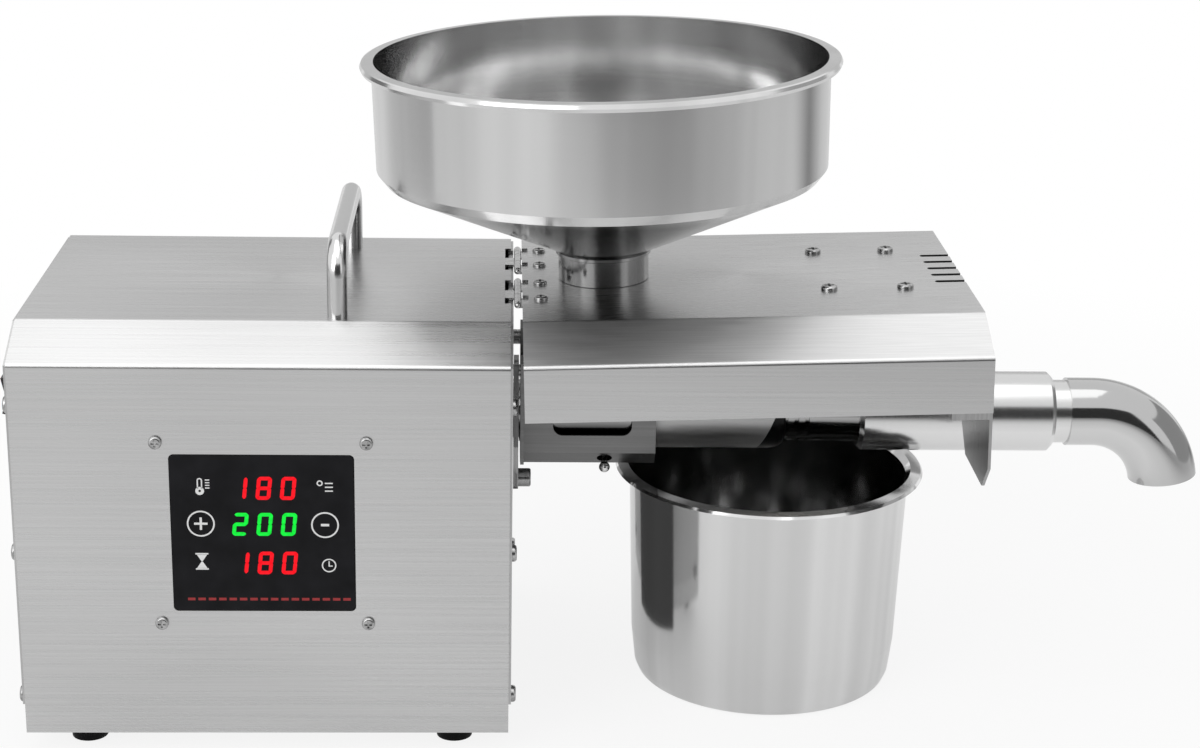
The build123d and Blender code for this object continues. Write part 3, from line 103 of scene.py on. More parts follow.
def brushed_sheet(name, dark, light, rough, stretch=(9, 1500, 1500)):
    """Brushed sheet: fine streaks along the grain and a slow change of tone over the sheet."""
    mat, nodes, links, shader = steel(name, grey(light), rough)
    fine = place_noise(nodes, links, stretch, 5.0)
    broad = place_noise(nodes, links, (7, 9, 11), 1.0)
    mix = nodes.new("ShaderNodeMix")
    mix.inputs["Factor"].default_value = 0.42
    links.new(fine.outputs["Fac"], mix.inputs["A"])
    links.new(broad.outputs["Fac"], mix.inputs["B"])
    tone = ramp(nodes, links, mix.outputs["Result"], [(0.36, grey(dark)), (0.64, grey(light))])
    links.new(tone.outputs["Color"], shader.inputs["Base Color"])
    links.new(spread(nodes, links, fine.outputs["Fac"], rough - 0.08, rough + 0.1),
              shader.inputs["Roughness"])
    grain_bump(nodes, links, fine.outputs["Fac"], shader, 0.12, 0.00003)
    shader.inputs["Anisotropic"].default_value = 0.5
    return mat


def dress(names, mat, edge=0.0):
    """Gives CAD nodes their finish, and a small worn edge where one is asked for."""
    for name in names:
        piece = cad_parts[name]
        piece.data.materials.clear()
        piece.data.materials.append(mat)
        if edge:
            bevel = piece.modifiers.new("worn_edge", "BEVEL")
            bevel.width = edge
            bevel.segments = 2
            bevel.limit_method = "ANGLE"
            bevel.angle_limit = radians(40)
            bevel.harden_normals = True


sheet_steel = brushed_sheet("brushed_housing_steel", dark=0.56, light=0.66, rough=0.28)
dress(["housing_shell", "base_tray"], sheet_steel)

# The end plates are flat stainless sheets screwed over both ends of the housing, a little darker
# and with the grain upright. They carry the inlet, the switches and the barrel.

plate_steel = brushed_sheet("end_plate_steel", dark=0.46, light=0.58, rough=0.36, stretch=(1500, 1500, 12))
dress(["left_end_plate", "right_end_plate"], plate_steel)

# All screws are pan heads of zinc-plated steel with a crossed recess. They are tumbled, so they
# show small dark specks and a cloudy sheen.


def plated(name, tone, rough, speck):
    """Plated or ground steel with a cloudy sheen and darker specks."""
    mat, nodes, links, shader = steel(name, grey(tone), rough)
    cloud = place_noise(nodes, links, (420, 420, 420), 4.0)
    shade = ramp(nodes, links, cloud.outputs["Fac"], [(0.3, grey(speck)), (0.6, grey(tone))])
    links.new(shade.outputs["Color"], shader.inputs["Base Color"])
    links.new(spread(nodes, links, cloud.outputs["Fac"], rough - 0.06, rough + 0.12),
              shader.inputs["Roughness"])
    grain_bump(nodes, links, cloud.outputs["Fac"], shader, 0.15, 0.00004)
    return mat


zinc = plated("zinc_screw", tone=0.50, rough=0.20, speck=0.24)
dress(["left_plate_screws", "right_plate_screws", "foot_screws", "handle_screws", "panel_screws",
       "hood_hinge_screws", "hood_top_screws", "bracket_screws", "lever_pivot", "gearbox_bolts",
       "seat_bolts"], zinc)

# Four moulded rubber feet hold the housing off the table, each with a screw through its middle.
# The rubber is black and dull, and its edges are worn round.


def moulded(name, tone, rough, bloom, size=900):
    """Black or coloured plastic and rubber with a fine moulded skin."""
    mat = bpy.data.materials.new(name)
    mat.use_nodes = True
    nodes, links = mat.node_tree.nodes, mat.node_tree.links
    shader = nodes["Principled BSDF"]
    skin = place_noise(nodes, links, (size, size, size), 3.0)
    cloud = place_noise(nodes, links, (60, 60, 60), 2.0)
    pale = tuple(c * (1 - bloom) + bloom * 0.5 for c in tone)
    shade = ramp(nodes, links, cloud.outputs["Fac"], [(0.35, tone), (0.8, pale)])
    links.new(shade.outputs["Color"], shader.inputs["Base Color"])
    links.new(spread(nodes, links, skin.outputs["Fac"], rough - 0.07, rough + 0.07),
              shader.inputs["Roughness"])
    grain_bump(nodes, links, skin.outputs["Fac"], shader, 0.2, 0.00005)
    return mat


foot_rubber = moulded("foot_rubber", tone=(0.004, 0.004, 0.0045), rough=0.45, bloom=0.0)
foot_rubber.node_tree.nodes["Principled BSDF"].inputs["Specular IOR Level"].default_value = 0.12
dress(["rubber_feet"], foot_rubber, edge=0.0004)

# The carry handle is a polished round bar bent into a bail and screwed on from inside the roof.
# Its lower half is a little darker than its crown, a painted shade.


def polished(name, upper, lower, rough, lines=(1400, 30, 30), turns_at=0.3):
    """Mirror-like steel with fine turning lines, and a painted reflection: another tone on the side that
    looks down.
    """
    mat, nodes, links, shader = steel(name, grey(upper), rough)
    where = nodes.new("ShaderNodeTexCoord")
    split = nodes.new("ShaderNodeSeparateXYZ")
    links.new(where.outputs["Normal"], split.inputs["Vector"])
    height = nodes.new("ShaderNodeMapRange")
    height.inputs["From Min"].default_value = -1.0
    height.inputs["From Max"].default_value = 1.0
    links.new(split.outputs["Z"], height.inputs["Value"])
    # Painted reflection: the tone follows whether the face looks up or down.
    tone = ramp(nodes, links, height.outputs["Result"],
                [(0.0, grey(lower * 1.5)), (turns_at - 0.18, grey(lower)), (turns_at + 0.12, grey(lower)),
                 (turns_at + 0.3, grey(upper)), (1.0, grey(upper))])
    links.new(tone.outputs["Color"], shader.inputs["Base Color"])
    turning = place_noise(nodes, links, lines, 3.0)
    links.new(spread(nodes, links, turning.outputs["Fac"], rough * 0.7, rough * 1.4),
              shader.inputs["Roughness"])
    grain_bump(nodes, links, turning.outputs["Fac"], shader, 0.08, 0.00002)
    return mat


handle_steel = polished("polished_handle_bar", upper=0.68, lower=0.52, rough=0.16,
                        lines=(60, 60, 60), turns_at=0.3)
dress(["carry_handle"], handle_steel)

# The control window is a black acrylic sheet with rounded corners, clamped behind the front by a
# flange and four screws. Lit digits and printed signs show through its polished face.

window = bpy.data.materials.new("control_window")
window.use_nodes = True
window_shader = window.node_tree.nodes["Principled BSDF"]
haze = place_noise(window.node_tree.nodes, window.node_tree.links, (90, 90, 90), 2.0)
haze_tone = ramp(window.node_tree.nodes, window.node_tree.links, haze.outputs["Fac"],
                 [(0.3, (0.006, 0.006, 0.007)), (0.8, (0.012, 0.012, 0.014))])
window.node_tree.links.new(haze_tone.outputs["Color"], window_shader.inputs["Base Color"])
window_shader.inputs["Roughness"].default_value = 0.22
window_shader.inputs["Specular IOR Level"].default_value = 0.1
dress(["control_panel"], window)

panel_low, panel_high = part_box("control_panel")
panel_x = (panel_low.x + panel_high.x) / 2
panel_z = (panel_low.z + panel_high.z) / 2
panel_face = panel_low.y
print_depth = 0.00004


def sign(name, shapes, mat):
    """Flat printed or lit shapes on the window. Each is a list of (x, z) points in millimetres."""
    mesh = bpy.data.meshes.new(name)
    bm = bmesh.new()
    for shape in shapes:
        front = [bm.verts.new((panel_x + x / 1000, panel_face - print_depth, panel_z + z / 1000))
                 for x, z in shape]
        back = [bm.verts.new((v.co.x, panel_face + print_depth, v.co.z)) for v in front]
        bm.faces.new(front)
        bm.faces.new(list(reversed(back)))
        for k in range(len(front)):
            m = (k + 1) % len(front)
            bm.faces.new((front[m], front[k], back[k], back[m]))
    bmesh.ops.recalc_face_normals(bm, faces=bm.faces)
    bm.to_mesh(mesh)
    bm.free()
    piece = bpy.data.objects.new(name, mesh)
    bpy.context.scene.collection.objects.link(piece)
    mesh.materials.append(mat)
    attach(piece, "body")


def glowing(name, colour, strength, core):
    """Lit segment colour, a little uneven like a diode behind its diffuser."""
    mat = bpy.data.materials.new(name)
    mat.use_nodes = True
    nodes, links = mat.node_tree.nodes, mat.node_tree.links
    shader = nodes["Principled BSDF"]
    cloud = place_noise(nodes, links, (700, 700, 700), 1.0)
    tone = ramp(nodes, links, cloud.outputs["Fac"], [(0.2, colour), (0.8, core)])
    shader.inputs["Base Color"].default_value = (*[c * 0.2 for c in colour], 1)
    shader.inputs["Specular IOR Level"].default_value = 0.1
    links.new(tone.outputs["Color"], shader.inputs["Emission Color"])
    shader.inputs["Emission Strength"].default_value = strength
    shader.inputs["Roughness"].default_value = 0.5
    return mat


digit_width = 4.6
digit_height = 8.6
bar_width = 1.5
digit_lean = 0.11
bar_reach = 0.94
digit_columns = (-8.7, 0.7, 10.1)


def bar(x0, z0, x1, z1, width):
    """A segment with pointed ends between two points."""
    along = Vector((x1 - x0, z1 - z0)).normalized()
    side = Vector((-along.y, along.x)) * width / 2
    tip = along * width / 2
    a, b = Vector((x0, z0)), Vector((x1, z1))
    point, shoulder, back, flat = 0.55, 0.62, 0.1, 0.7
    return [a - tip * point, a + side * shoulder - tip * back, a + side + tip * flat,
            b + side - tip * flat, b + side * shoulder + tip * back, b + tip * point,
            b - side * shoulder + tip * back, b - side - tip * flat, a - side + tip * flat,
            a - side * shoulder - tip * back]


def digit(number, x, z):
    """The lit bars of one seven-bar digit, leaning to the right."""
    w, h = digit_width / 2, digit_height / 2
    ends = {"a": (-w, h, w, h), "b": (w, h, w, 0), "c": (w, 0, w, -h), "d": (-w, -h, w, -h),
            "e": (-w, 0, -w, -h), "f": (-w, h, -w, 0), "g": (-w, 0, w, 0)}
    lit = {"0": "abcdef", "1": "bc", "2": "abged", "8": "abcdefg"}[number]
    shapes = []
    for name in lit:
        x0, z0, x1, z1 = ends[name]
        points = bar(x0 * bar_reach, z0 * bar_reach, x1 * bar_reach, z1 * bar_reach, bar_width)
        shapes.append([(x + p.x + p.y * digit_lean, z + p.y) for p in points])
    return shapes


red_light = glowing("red_digit_light", (0.78, 0.004, 0.012), 1.0, (1.0, 0.012, 0.022))
green_light = glowing("green_digit_light", (0.004, 0.66, 0.035), 1.0, (0.012, 0.92, 0.07))
for row, (number, height, light) in enumerate((("180", 19.0, red_light), ("200", 4.0, green_light),
                                               ("180", -12.2, red_light))):
    lit_bars = []
    for character, column in zip(number, digit_columns):
        lit_bars += digit(character, column, height)
    sign(f"lit_digits_{row}", lit_bars, light)

white_print = moulded("white_window_print", tone=(0.72, 0.72, 0.72), rough=0.5, bloom=0.0)
red_print = moulded("red_window_print", tone=(0.30, 0.016, 0.018), rough=0.5, bloom=0.0)


def ring(x, z, radius, width, parts=48, start=0.0, sweep=2 * pi):
    """Printed ring as short four-cornered pieces."""
    pieces = []
    for k in range(parts):
        a, b = start + sweep * k / parts, start + sweep * (k + 1) / parts
        outer, inner = radius + width / 2, radius - width / 2
        pieces.append([(x + outer * cos(a), z + outer * sin(a)), (x + outer * cos(b), z + outer * sin(b)),
                       (x + inner * cos(b), z + inner * sin(b)), (x + inner * cos(a), z + inner * sin(a))])
    return pieces


def block(x0, x1, z0, z1):
    """An upright rectangle between two widths and two heights."""
    return [(x0, z0), (x1, z0), (x1, z1), (x0, z1)]


key_signs = ring(-24.0, 4.2, 5.1, 0.62) + ring(24.1, 3.8, 5.1, 0.62)
key_signs += [block(-26.6, -21.4, 3.75, 4.65), block(-24.45, -23.55, 1.6, 3.74),
              block(-24.45, -23.55, 4.66, 6.8), block(22.5, 25.7, 3.3, 4.3)]
sign("key_signs", key_signs, white_print)

# Small printed signs stand beside the digits: a thermometer, a degree ring with a scale, an
# hourglass and a clock, and a thin red dashed line along the foot of the window.

thermometer = ring(-24.0, 17.8, 1.1, 1.2, 20) + ring(-24.0, 22.1, 0.8, 0.5, 14, 0, pi)
thermometer += [block(-25.05, -24.55, 18.8, 22.1), block(-23.45, -22.95, 18.8, 22.1)]
thermometer += [block(-21.9, -20.2, z, z + 0.45) for z in (18.8, 19.9, 21.0, 22.1)]
degree = ring(22.3, 21.2, 0.95, 0.5, 24)
degree += [block(24.3, 27.4, z, z + 0.5) for z in (17.7, 19.3, 20.9)]
hourglass = [block(-26.5, -21.5, -8.7, -8.1), block(-26.5, -21.5, -15.1, -14.5)]
hourglass += [[(-26.0, -8.8), (-22.0, -8.8), (-23.75, -11.5), (-24.25, -11.5)],
              [(-24.25, -11.7), (-23.75, -11.7), (-22.0, -14.4), (-26.0, -14.4)]]
clock = ring(25.4, -13.2, 2.6, 0.5, 36)
clock += [block(25.2, 25.65, -13.2, -11.4), block(25.2, 26.8, -13.65, -13.2)]
sign("side_signs", thermometer + degree + hourglass + clock, white_print)
dash_count = 16
dash_step = 4.05
dash_length = 2.9
dash_heights = (-28.1, -27.0)
dashes = []
for k in range(dash_count):
    start = -30.0 + dash_step * k
    dashes.append(block(start, start + dash_length, *dash_heights))
sign("red_line", dashes, red_print)

# Behind the window a green circuit board carries three dark display blocks. The motor board at
# the back of the tray has a finned heat sink, a capacitor and a relay on it.


def circuit_board(name):
    """Green board with tinned tracks and pads."""
    mat = bpy.data.materials.new(name)
    mat.use_nodes = True
    nodes, links = mat.node_tree.nodes, mat.node_tree.links
    shader = nodes["Principled BSDF"]
    where = nodes.new("ShaderNodeTexCoord")
    cells = nodes.new("ShaderNodeTexVoronoi")
    cells.distance = "MANHATTAN"
    cells.inputs["Scale"].default_value = 240
    links.new(where.outputs["Object"], cells.inputs["Vector"])
    tone = ramp(nodes, links, cells.outputs["Distance"],
                [(0.1, (0.30, 0.24, 0.06)), (0.16, (0.012, 0.10, 0.035)), (0.5, (0.02, 0.15, 0.05))])
    links.new(tone.outputs["Color"], shader.inputs["Base Color"])
    shader.inputs["Roughness"].default_value = 0.35
    grain_bump(nodes, links, cells.outputs["Distance"], shader, 0.2, 0.00008)
    return mat


dress(["control_board", "power_board"], circuit_board("circuit_board"))
dress(["display_modules"], moulded("display_block", tone=(0.02, 0.02, 0.022), rough=0.4, bloom=0.02))

# The left end has a mains inlet and two rocker switches in black frames. The motor rocker is
# black and the heater rocker red, both of glossy moulded plastic.

dress(["power_inlet", "motor_switch_bezel", "heater_switch_bezel"],
      moulded("black_fitting", tone=(0.012, 0.012, 0.012), rough=0.42, bloom=0.02), edge=0.0003)
dress(["motor_switch_rocker"],
      moulded("black_rocker", tone=(0.015, 0.015, 0.015), rough=0.22, bloom=0.01), edge=0.0003)
dress(["heater_switch_rocker"],
      moulded("red_rocker", tone=(0.42, 0.012, 0.010), rough=0.22, bloom=0.0), edge=0.0003)

# Inside, the motor is a black painted can with a cast end bell and a plastic fan. Its core is a
# stack of thin iron sheets, and its bearings are ground rings.


def laminated(name):
    """Stacked iron sheets seen on edge."""
    mat, nodes, links, shader = steel(name, grey(0.2), 0.5)
    layers = place_noise(nodes, links, (2000, 3, 3), 2.0)
    tone = ramp(nodes, links, layers.outputs["Fac"], [(0.4, grey(0.08)), (0.6, grey(0.3, 0.05))])
    links.new(tone.outputs["Color"], shader.inputs["Base Color"])
    grain_bump(nodes, links, layers.outputs["Fac"], shader, 0.4, 0.0002)
    return mat


def coated(name, tone, rough, size=700):
    """Sprayed paint with a slight orange-peel skin."""
    mat = moulded(name, tone, rough, 0.02, size)
    shader = mat.node_tree.nodes["Principled BSDF"]
    shader.inputs["Coat Weight"].default_value = 0.3
    shader.inputs["Coat Roughness"].default_value = 0.2
    return mat


dress(["motor_can", "motor_end_bell"], coated("motor_paint", tone=(0.03, 0.03, 0.033), rough=0.4))
dress(["stator_core", "motor_rotor"], laminated("iron_core"))
dress(["motor_fan"], moulded("fan_plastic", tone=(0.03, 0.03, 0.03), rough=0.45, bloom=0.03))
dress(["motor_bearings", "gear_bearings"], plated("bearing_steel", tone=0.66, rough=0.16, speck=0.52))

# The gear case, its lid and the barrel seat are aluminium castings with a sandy skin. The gears,
# shafts and the motor pinion are cut from steel.


def cast_metal(name, tone):
    """Sand-cast aluminium with a grainy skin."""
    mat, nodes, links, shader = steel(name, grey(tone), 0.5)
    sand = place_noise(nodes, links, (600, 600, 600), 5.0)
    shade = ramp(nodes, links, sand.outputs["Fac"], [(0.3, grey(tone * 0.7)), (0.7, grey(tone))])
    links.new(shade.outputs["Color"], shader.inputs["Base Color"])
    links.new(spread(nodes, links, sand.outputs["Fac"], 0.42, 0.62), shader.inputs["Roughness"])
    grain_bump(nodes, links, sand.outputs["Fac"], shader, 0.4, 0.0002)
    return mat


dress(["gearbox_housing", "gearbox_cover", "barrel_seat"], cast_metal("cast_aluminium", 0.5))
gear_steel = plated("cut_gear_steel", tone=0.5, rough=0.28, speck=0.36)
dress(["output_gear", "output_shaft", "layshaft", "layshaft_gear", "motor_pinion"], gear_steel)

# The press barrel is turned from steel: feed body and port, drained cage, three cooling rings and
# a plain end. It is polished, and its lower half is painted dark as a painted reflection of the
# dark side of a room.

barrel_steel = polished("turned_barrel_steel", upper=0.72, lower=0.035, rough=0.12,
                        lines=(1600, 12, 12), turns_at=0.30)
dress(["press_barrel"], barrel_steel)

# The press screw is one bar of hardened steel with a root that grows towards the nose. Its flight
# is bright, with a cloudy sheen and small darker specks.

dress(["auger"], plated("press_screw_steel", tone=0.45, rough=0.2, speck=0.25))

# A steel heating jacket wraps the cage and is dulled to a soft grey by the heat. The drip nose
# next to it is near black, a painted reflection of dark surroundings on its rounded end.

jacket_steel = brushed_sheet("dulled_jacket_steel", dark=0.62, light=0.78, rough=0.5, stretch=(30, 300, 300))
dress(["heater_jacket"], jacket_steel)
nose_black = brushed_sheet("black_drip_steel", dark=0.012, light=0.03, rough=0.3, stretch=(300, 300, 300))
dress(["drip_nose"], nose_black)

# The end sleeve and its neck are turned steel. The outlet elbow is a bent tube polished by hand, so
# its lines wander. Their lower halves are brighter, a painted reflection of the pale table.

sleeve_steel = polished("turned_sleeve_steel", upper=0.64, lower=0.84, rough=0.20,
                        lines=(3000, 12, 12), turns_at=0.26)
dress(["end_sleeve"], sleeve_steel)
elbow_steel = polished("polished_elbow_tube", upper=0.50, lower=0.72, rough=0.10,
                       lines=(80, 80, 80), turns_at=0.26)
dress(["outlet_elbow"], elbow_steel)

# The bracket under the feed body is a folded channel of dark blued sheet, and the lock lever is a
# strip of darker steel with a turned knob. The ball-headed pin is bright.

blued = brushed_sheet("blued_bracket_steel", dark=0.19, light=0.27, rough=0.36, stretch=(14, 700, 700))
dress(["support_bracket"], blued)
dress(["lock_lever"],
      brushed_sheet("lock_lever_steel", dark=0.34, light=0.5, rough=0.28, stretch=(700, 700, 20)))
dress(["locating_pin"], plated("bright_pin", tone=0.8, rough=0.12, speck=0.6))

# Two butt hinges join the housing and the hood. Their leaves are pressed steel and their pins
# have round ends.

dress(["housing_hinge_leaves", "hood_hinge_leaves"],
      plated("hinge_steel", tone=0.66, rough=0.22, speck=0.45))
dress(["hinge_pins"], plated("hinge_pin_steel", tone=0.7, rough=0.15, speck=0.5))

# The hood is folded from the same sheet as the housing and brushed the same way. Its under side is
# given a painted shade, the walls of its vent slots and the top of the reflector are painted near
# black as shade, and its sloping folds carry a lighter painted highlight. A plate closes its right
# end, darker as painted shade. Below the roof hang a folded reflector and two quartz tubes.

hood_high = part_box("hood_shell")[1]
vent_reach = 0.045
roof_sheet = 0.0013
slots_start = hood_high.x - vent_reach
roof_height = hood_high.z - roof_sheet
# Painted shade: the hood's downward faces get a darker tone.
painted_shade_steel = brushed_sheet("painted_shade_underside_steel", dark=0.24, light=0.36, rough=0.42)
# Painted shade: the vent slot walls and the reflector's top are near black.
painted_dark_slot_steel = brushed_sheet("painted_shade_slot_steel", dark=0.03, light=0.06, rough=0.5)
dress(["hood_shell"], sheet_steel)
hood_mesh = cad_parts["hood_shell"].data
hood_mesh.materials.append(painted_shade_steel)
hood_mesh.materials.append(painted_dark_slot_steel)
# Painted highlight: the sloping folds are a little lighter than the roof.
hood_mesh.materials.append(brushed_sheet("painted_highlight_fold_steel", dark=0.62, light=0.72, rough=0.40))
for face in hood_mesh.polygons:
    upright = abs(face.normal.z) < 0.3
    leans_out = abs(face.normal.y) > 0.2 and face.normal.z > 0.3
    if face.normal.z < -0.3:
        face.material_index = 1
    elif upright and face.center.z > roof_height and face.center.x > slots_start:
        face.material_index = 2
    elif leans_out:
        face.material_index = 3
# Painted shade: the hood's end plate is darker than the hood sheet.
dress(["hood_end_plate"],
      brushed_sheet("hood_plate_steel", dark=0.36, light=0.5, rough=0.3, stretch=(1500, 1500, 12)))
dress(["heater_reflector"], polished("reflector_sheet", upper=0.8, lower=0.6, rough=0.15))
reflector_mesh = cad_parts["heater_reflector"].data
reflector_mesh.materials.append(painted_dark_slot_steel)
# Painted shade on the reflector's upward faces under the roof.
for face in reflector_mesh.polygons:
    if face.normal.z > 0.3:
        face.material_index = 1
dress(["heater_clips"], plated("clip_steel", tone=0.5, rough=0.3, speck=0.3))
quartz = bpy.data.materials.new("quartz_tube")
quartz.use_nodes = True
quartz_shader = quartz.node_tree.nodes["Principled BSDF"]
frost = place_noise(quartz.node_tree.nodes, quartz.node_tree.links, (200, 200, 200), 3.0)
quartz.node_tree.links.new(
    spread(quartz.node_tree.nodes, quartz.node_tree.links, frost.outputs["Fac"], 0.25, 0.5),
    quartz_shader.inputs["Roughness"])
quartz_shader.inputs["Base Color"].default_value = (0.82, 0.80, 0.76, 1)
quartz_shader.inputs["Transmission Weight"].default_value = 0.5
dress(["heater_tubes"], quartz)

# The hopper is spun from thin stainless sheet and polished, so its band shows fine rings. Its soft
# upright light and dark bands are a painted reflection, and a dark tone at the front and back of its
# cone and collar is a painted reflection of the hood.


def spun_steel(name, centre, light, dark, rough, turns=3.2, cone_top=0.0, cone_tone=1.0):
    """Spun or drawn sheet with a painted reflection: upright tone bands around an axis, darker below its
    cone's top.
    """
    mat, nodes, links, shader = steel(name, grey(light), rough)
    where = nodes.new("ShaderNodeTexCoord")
    shift = nodes.new("ShaderNodeVectorMath")
    shift.operation = "SUBTRACT"
    shift.inputs[1].default_value = (centre[0], centre[1], 0)
    flat = nodes.new("ShaderNodeVectorMath")
    flat.operation = "MULTIPLY"
    flat.inputs[1].default_value = (1, 1, 0)
    unit = nodes.new("ShaderNodeVectorMath")
    unit.operation = "NORMALIZE"
    painted_reflection_bands = nodes.new("ShaderNodeTexNoise")
    painted_reflection_bands.inputs["Scale"].default_value = turns
    painted_reflection_bands.inputs["Detail"].default_value = 2.5
    links.new(where.outputs["Object"], shift.inputs[0])
    links.new(shift.outputs[0], flat.inputs[0])
    links.new(flat.outputs[0], unit.inputs[0])
    links.new(unit.outputs[0], painted_reflection_bands.inputs["Vector"])
    tone = ramp(nodes, links, painted_reflection_bands.outputs["Fac"],
                [(0.3, grey(dark)), (0.48, grey((dark + light) / 2)), (0.62, grey(light))])
    links.new(tone.outputs["Color"], shader.inputs["Base Color"])
    if cone_tone < 1.0:
        height = nodes.new("ShaderNodeSeparateXYZ")
        links.new(where.outputs["Object"], height.inputs["Vector"])
        below = nodes.new("ShaderNodeMapRange")
        soft_edge = 0.004
        below.inputs["From Min"].default_value = cone_top - soft_edge
        below.inputs["From Max"].default_value = cone_top
        links.new(height.outputs["Z"], below.inputs["Value"])
        way = nodes.new("ShaderNodeSeparateXYZ")
        links.new(unit.outputs[0], way.inputs["Vector"])
        side = nodes.new("ShaderNodeMath")
        side.operation = "ABSOLUTE"
        links.new(way.outputs["X"], side.inputs[0])
        # Painted reflection: the cone is darkest at the front and back.
        painted_reflection = ramp(nodes, links, side.outputs[0],
                      [(0.0, grey(cone_tone)), (0.30, grey(cone_tone * 1.6)), (0.55, grey(light * 0.55)),
                       (0.8, grey(light * 0.45)), (1.0, grey(light * 0.6))])
        both = nodes.new("ShaderNodeMix")
        both.data_type = "RGBA"
        links.new(below.outputs["Result"], both.inputs["Factor"])
        colour_a, colour_b, colour_out = 6, 7, 2
        links.new(painted_reflection.outputs["Color"], both.inputs[colour_a])
        links.new(tone.outputs["Color"], both.inputs[colour_b])
        links.new(both.outputs[colour_out], shader.inputs["Base Color"])
    rings = place_noise(nodes, links, (8, 8, 1800), 3.0)
    links.new(spread(nodes, links, rings.outputs["Fac"], rough * 0.8, rough * 1.3),
              shader.inputs["Roughness"])
    grain_bump(nodes, links, rings.outputs["Fac"], shader, 0.1, 0.00003)
    return mat


hopper_low, hopper_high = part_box("hopper")
hopper_middle = ((hopper_low.x + hopper_high.x) / 2, 0.0)
spout_depth, cone_rise = 0.012, 0.0445
cone_height = hopper_low.z + spout_depth + cone_rise
dress(["hopper"],
      spun_steel("spun_hopper_steel", centre=hopper_middle, light=0.72, dark=0.60, rough=0.13,
                 cone_top=cone_height, cone_tone=0.12))

# The pot is deep-drawn from the same sheet, with a flat lip and a rounded foot, and carries soft
# upright light and dark bands of painted reflection. It stands loose on the table under the drip nose.

pot_low, pot_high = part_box("oil_pot")
pot_middle = ((pot_low.x + pot_high.x) / 2, 0.0)
dress(["oil_pot"],
      spun_steel("drawn_pot_steel", centre=pot_middle, light=0.78, dark=0.62, rough=0.10, turns=2.6))

# The studio floor is pale and runs out to white, so the object keeps a soft shadow near its feet.
# Polished metal sees it as the light and dark parts of a room.

floor_mesh = bpy.data.meshes.new("studio_floor")
floor_half = 6.0
floor_mesh.from_pydata([(-floor_half, -floor_half, 0), (floor_half, -floor_half, 0),
                        (floor_half, floor_half, 0), (-floor_half, floor_half, 0)], [], [(0, 1, 2, 3)])
floor = bpy.data.objects.new("studio_floor", floor_mesh)
bpy.context.scene.collection.objects.link(floor)
floor_mat = bpy.data.materials.new("pale_floor")
floor_mat.use_nodes = True
floor_nodes, floor_links = floor_mat.node_tree.nodes, floor_mat.node_tree.links
floor_shader = floor_nodes["Principled BSDF"]
floor_shader.inputs["Base Color"].default_value = (0.86, 0.86, 0.86, 1)
floor_shader.inputs["Roughness"].default_value = 0.9
white = floor_nodes.new("ShaderNodeEmission")
blend_to_white = floor_nodes.new("ShaderNodeMixShader")
rays = floor_nodes.new("ShaderNodeLightPath")
place = floor_nodes.new("ShaderNodeTexCoord")
reach = floor_nodes.new("ShaderNodeVectorMath")
reach.operation = "LENGTH"
floor_links.new(place.outputs["Object"], reach.inputs[0])


def over_reach(near, far, low, high):
    """A value that changes from low to high with the distance from the middle of the floor."""
    node = floor_nodes.new("ShaderNodeMapRange")
    node.inputs["From Min"].default_value = near
    node.inputs["From Max"].default_value = far
    node.inputs["To Min"].default_value = low
    node.inputs["To Max"].default_value = high
    floor_links.new(reach.outputs["Value"], node.inputs["Value"])
    return node.outputs["Result"]


def floor_math(a, b, operation="MULTIPLY"):
    """Two values multiplied, or the larger of them with MAXIMUM."""
    node = floor_nodes.new("ShaderNodeMath")
    node.operation = operation
    floor_links.new(a, node.inputs[0])
    floor_links.new(b, node.inputs[1])
    return node.outputs[0]


around = floor_nodes.new("ShaderNodeTexGradient")
around.gradient_type = "RADIAL"
floor_links.new(place.outputs["Object"], around.inputs["Vector"])
room = ramp(floor_nodes, floor_links, around.outputs["Fac"],
            [(0.0, grey(0.75)), (0.17, grey(0.88)), (0.25, grey(0.48)), (0.36, grey(0.42)),
             (0.46, grey(0.62)), (0.54, grey(0.72)), (0.585, grey(0.25)), (0.63, grey(0.7)),
             (0.86, grey(0.8)), (0.955, grey(0.5))])
metal_sees = floor_nodes.new("ShaderNodeMix")
metal_sees.inputs["A"].default_value = 0.88
room_starts = over_reach(near=0.4, far=0.95, low=0.0, high=1.0)
floor_links.new(room_starts, metal_sees.inputs["Factor"])
floor_links.new(room.outputs["Color"], metal_sees.inputs["B"])
level = floor_nodes.new("ShaderNodeMapRange")
level.inputs["To Max"].default_value = 1.0
floor_links.new(rays.outputs["Is Camera Ray"], level.inputs["Value"])
floor_links.new(metal_sees.outputs["Result"], level.inputs["To Min"])
floor_links.new(level.outputs["Result"], white.inputs["Strength"])
shadow_fades = over_reach(near=0.3, far=0.7, low=0.86, high=1.0)
mirrored_fades = over_reach(near=0.25, far=0.6, low=0.5, high=1.0)
camera_share = floor_math(rays.outputs["Is Camera Ray"], shadow_fades)
metal_share = floor_math(rays.outputs["Is Glossy Ray"], mirrored_fades)
share = floor_math(camera_share, metal_share, "MAXIMUM")
floor_links.new(share, blend_to_white.inputs["Fac"])
floor_links.new(floor_shader.outputs["BSDF"], blend_to_white.inputs[1])
floor_links.new(white.outputs["Emission"], blend_to_white.inputs[2])
floor_links.new(blend_to_white.outputs["Shader"], floor_nodes["Material Output"].inputs["Surface"])
floor_mesh.materials.append(floor_mat)

# Upright cards stand around the object. Only the metal sees them, and they give its polished faces
# the dark and grey bands that a real room would. The last and smallest stands right beside the end
# plate, between the housing and the pot, and gives the pot its dark upright band.


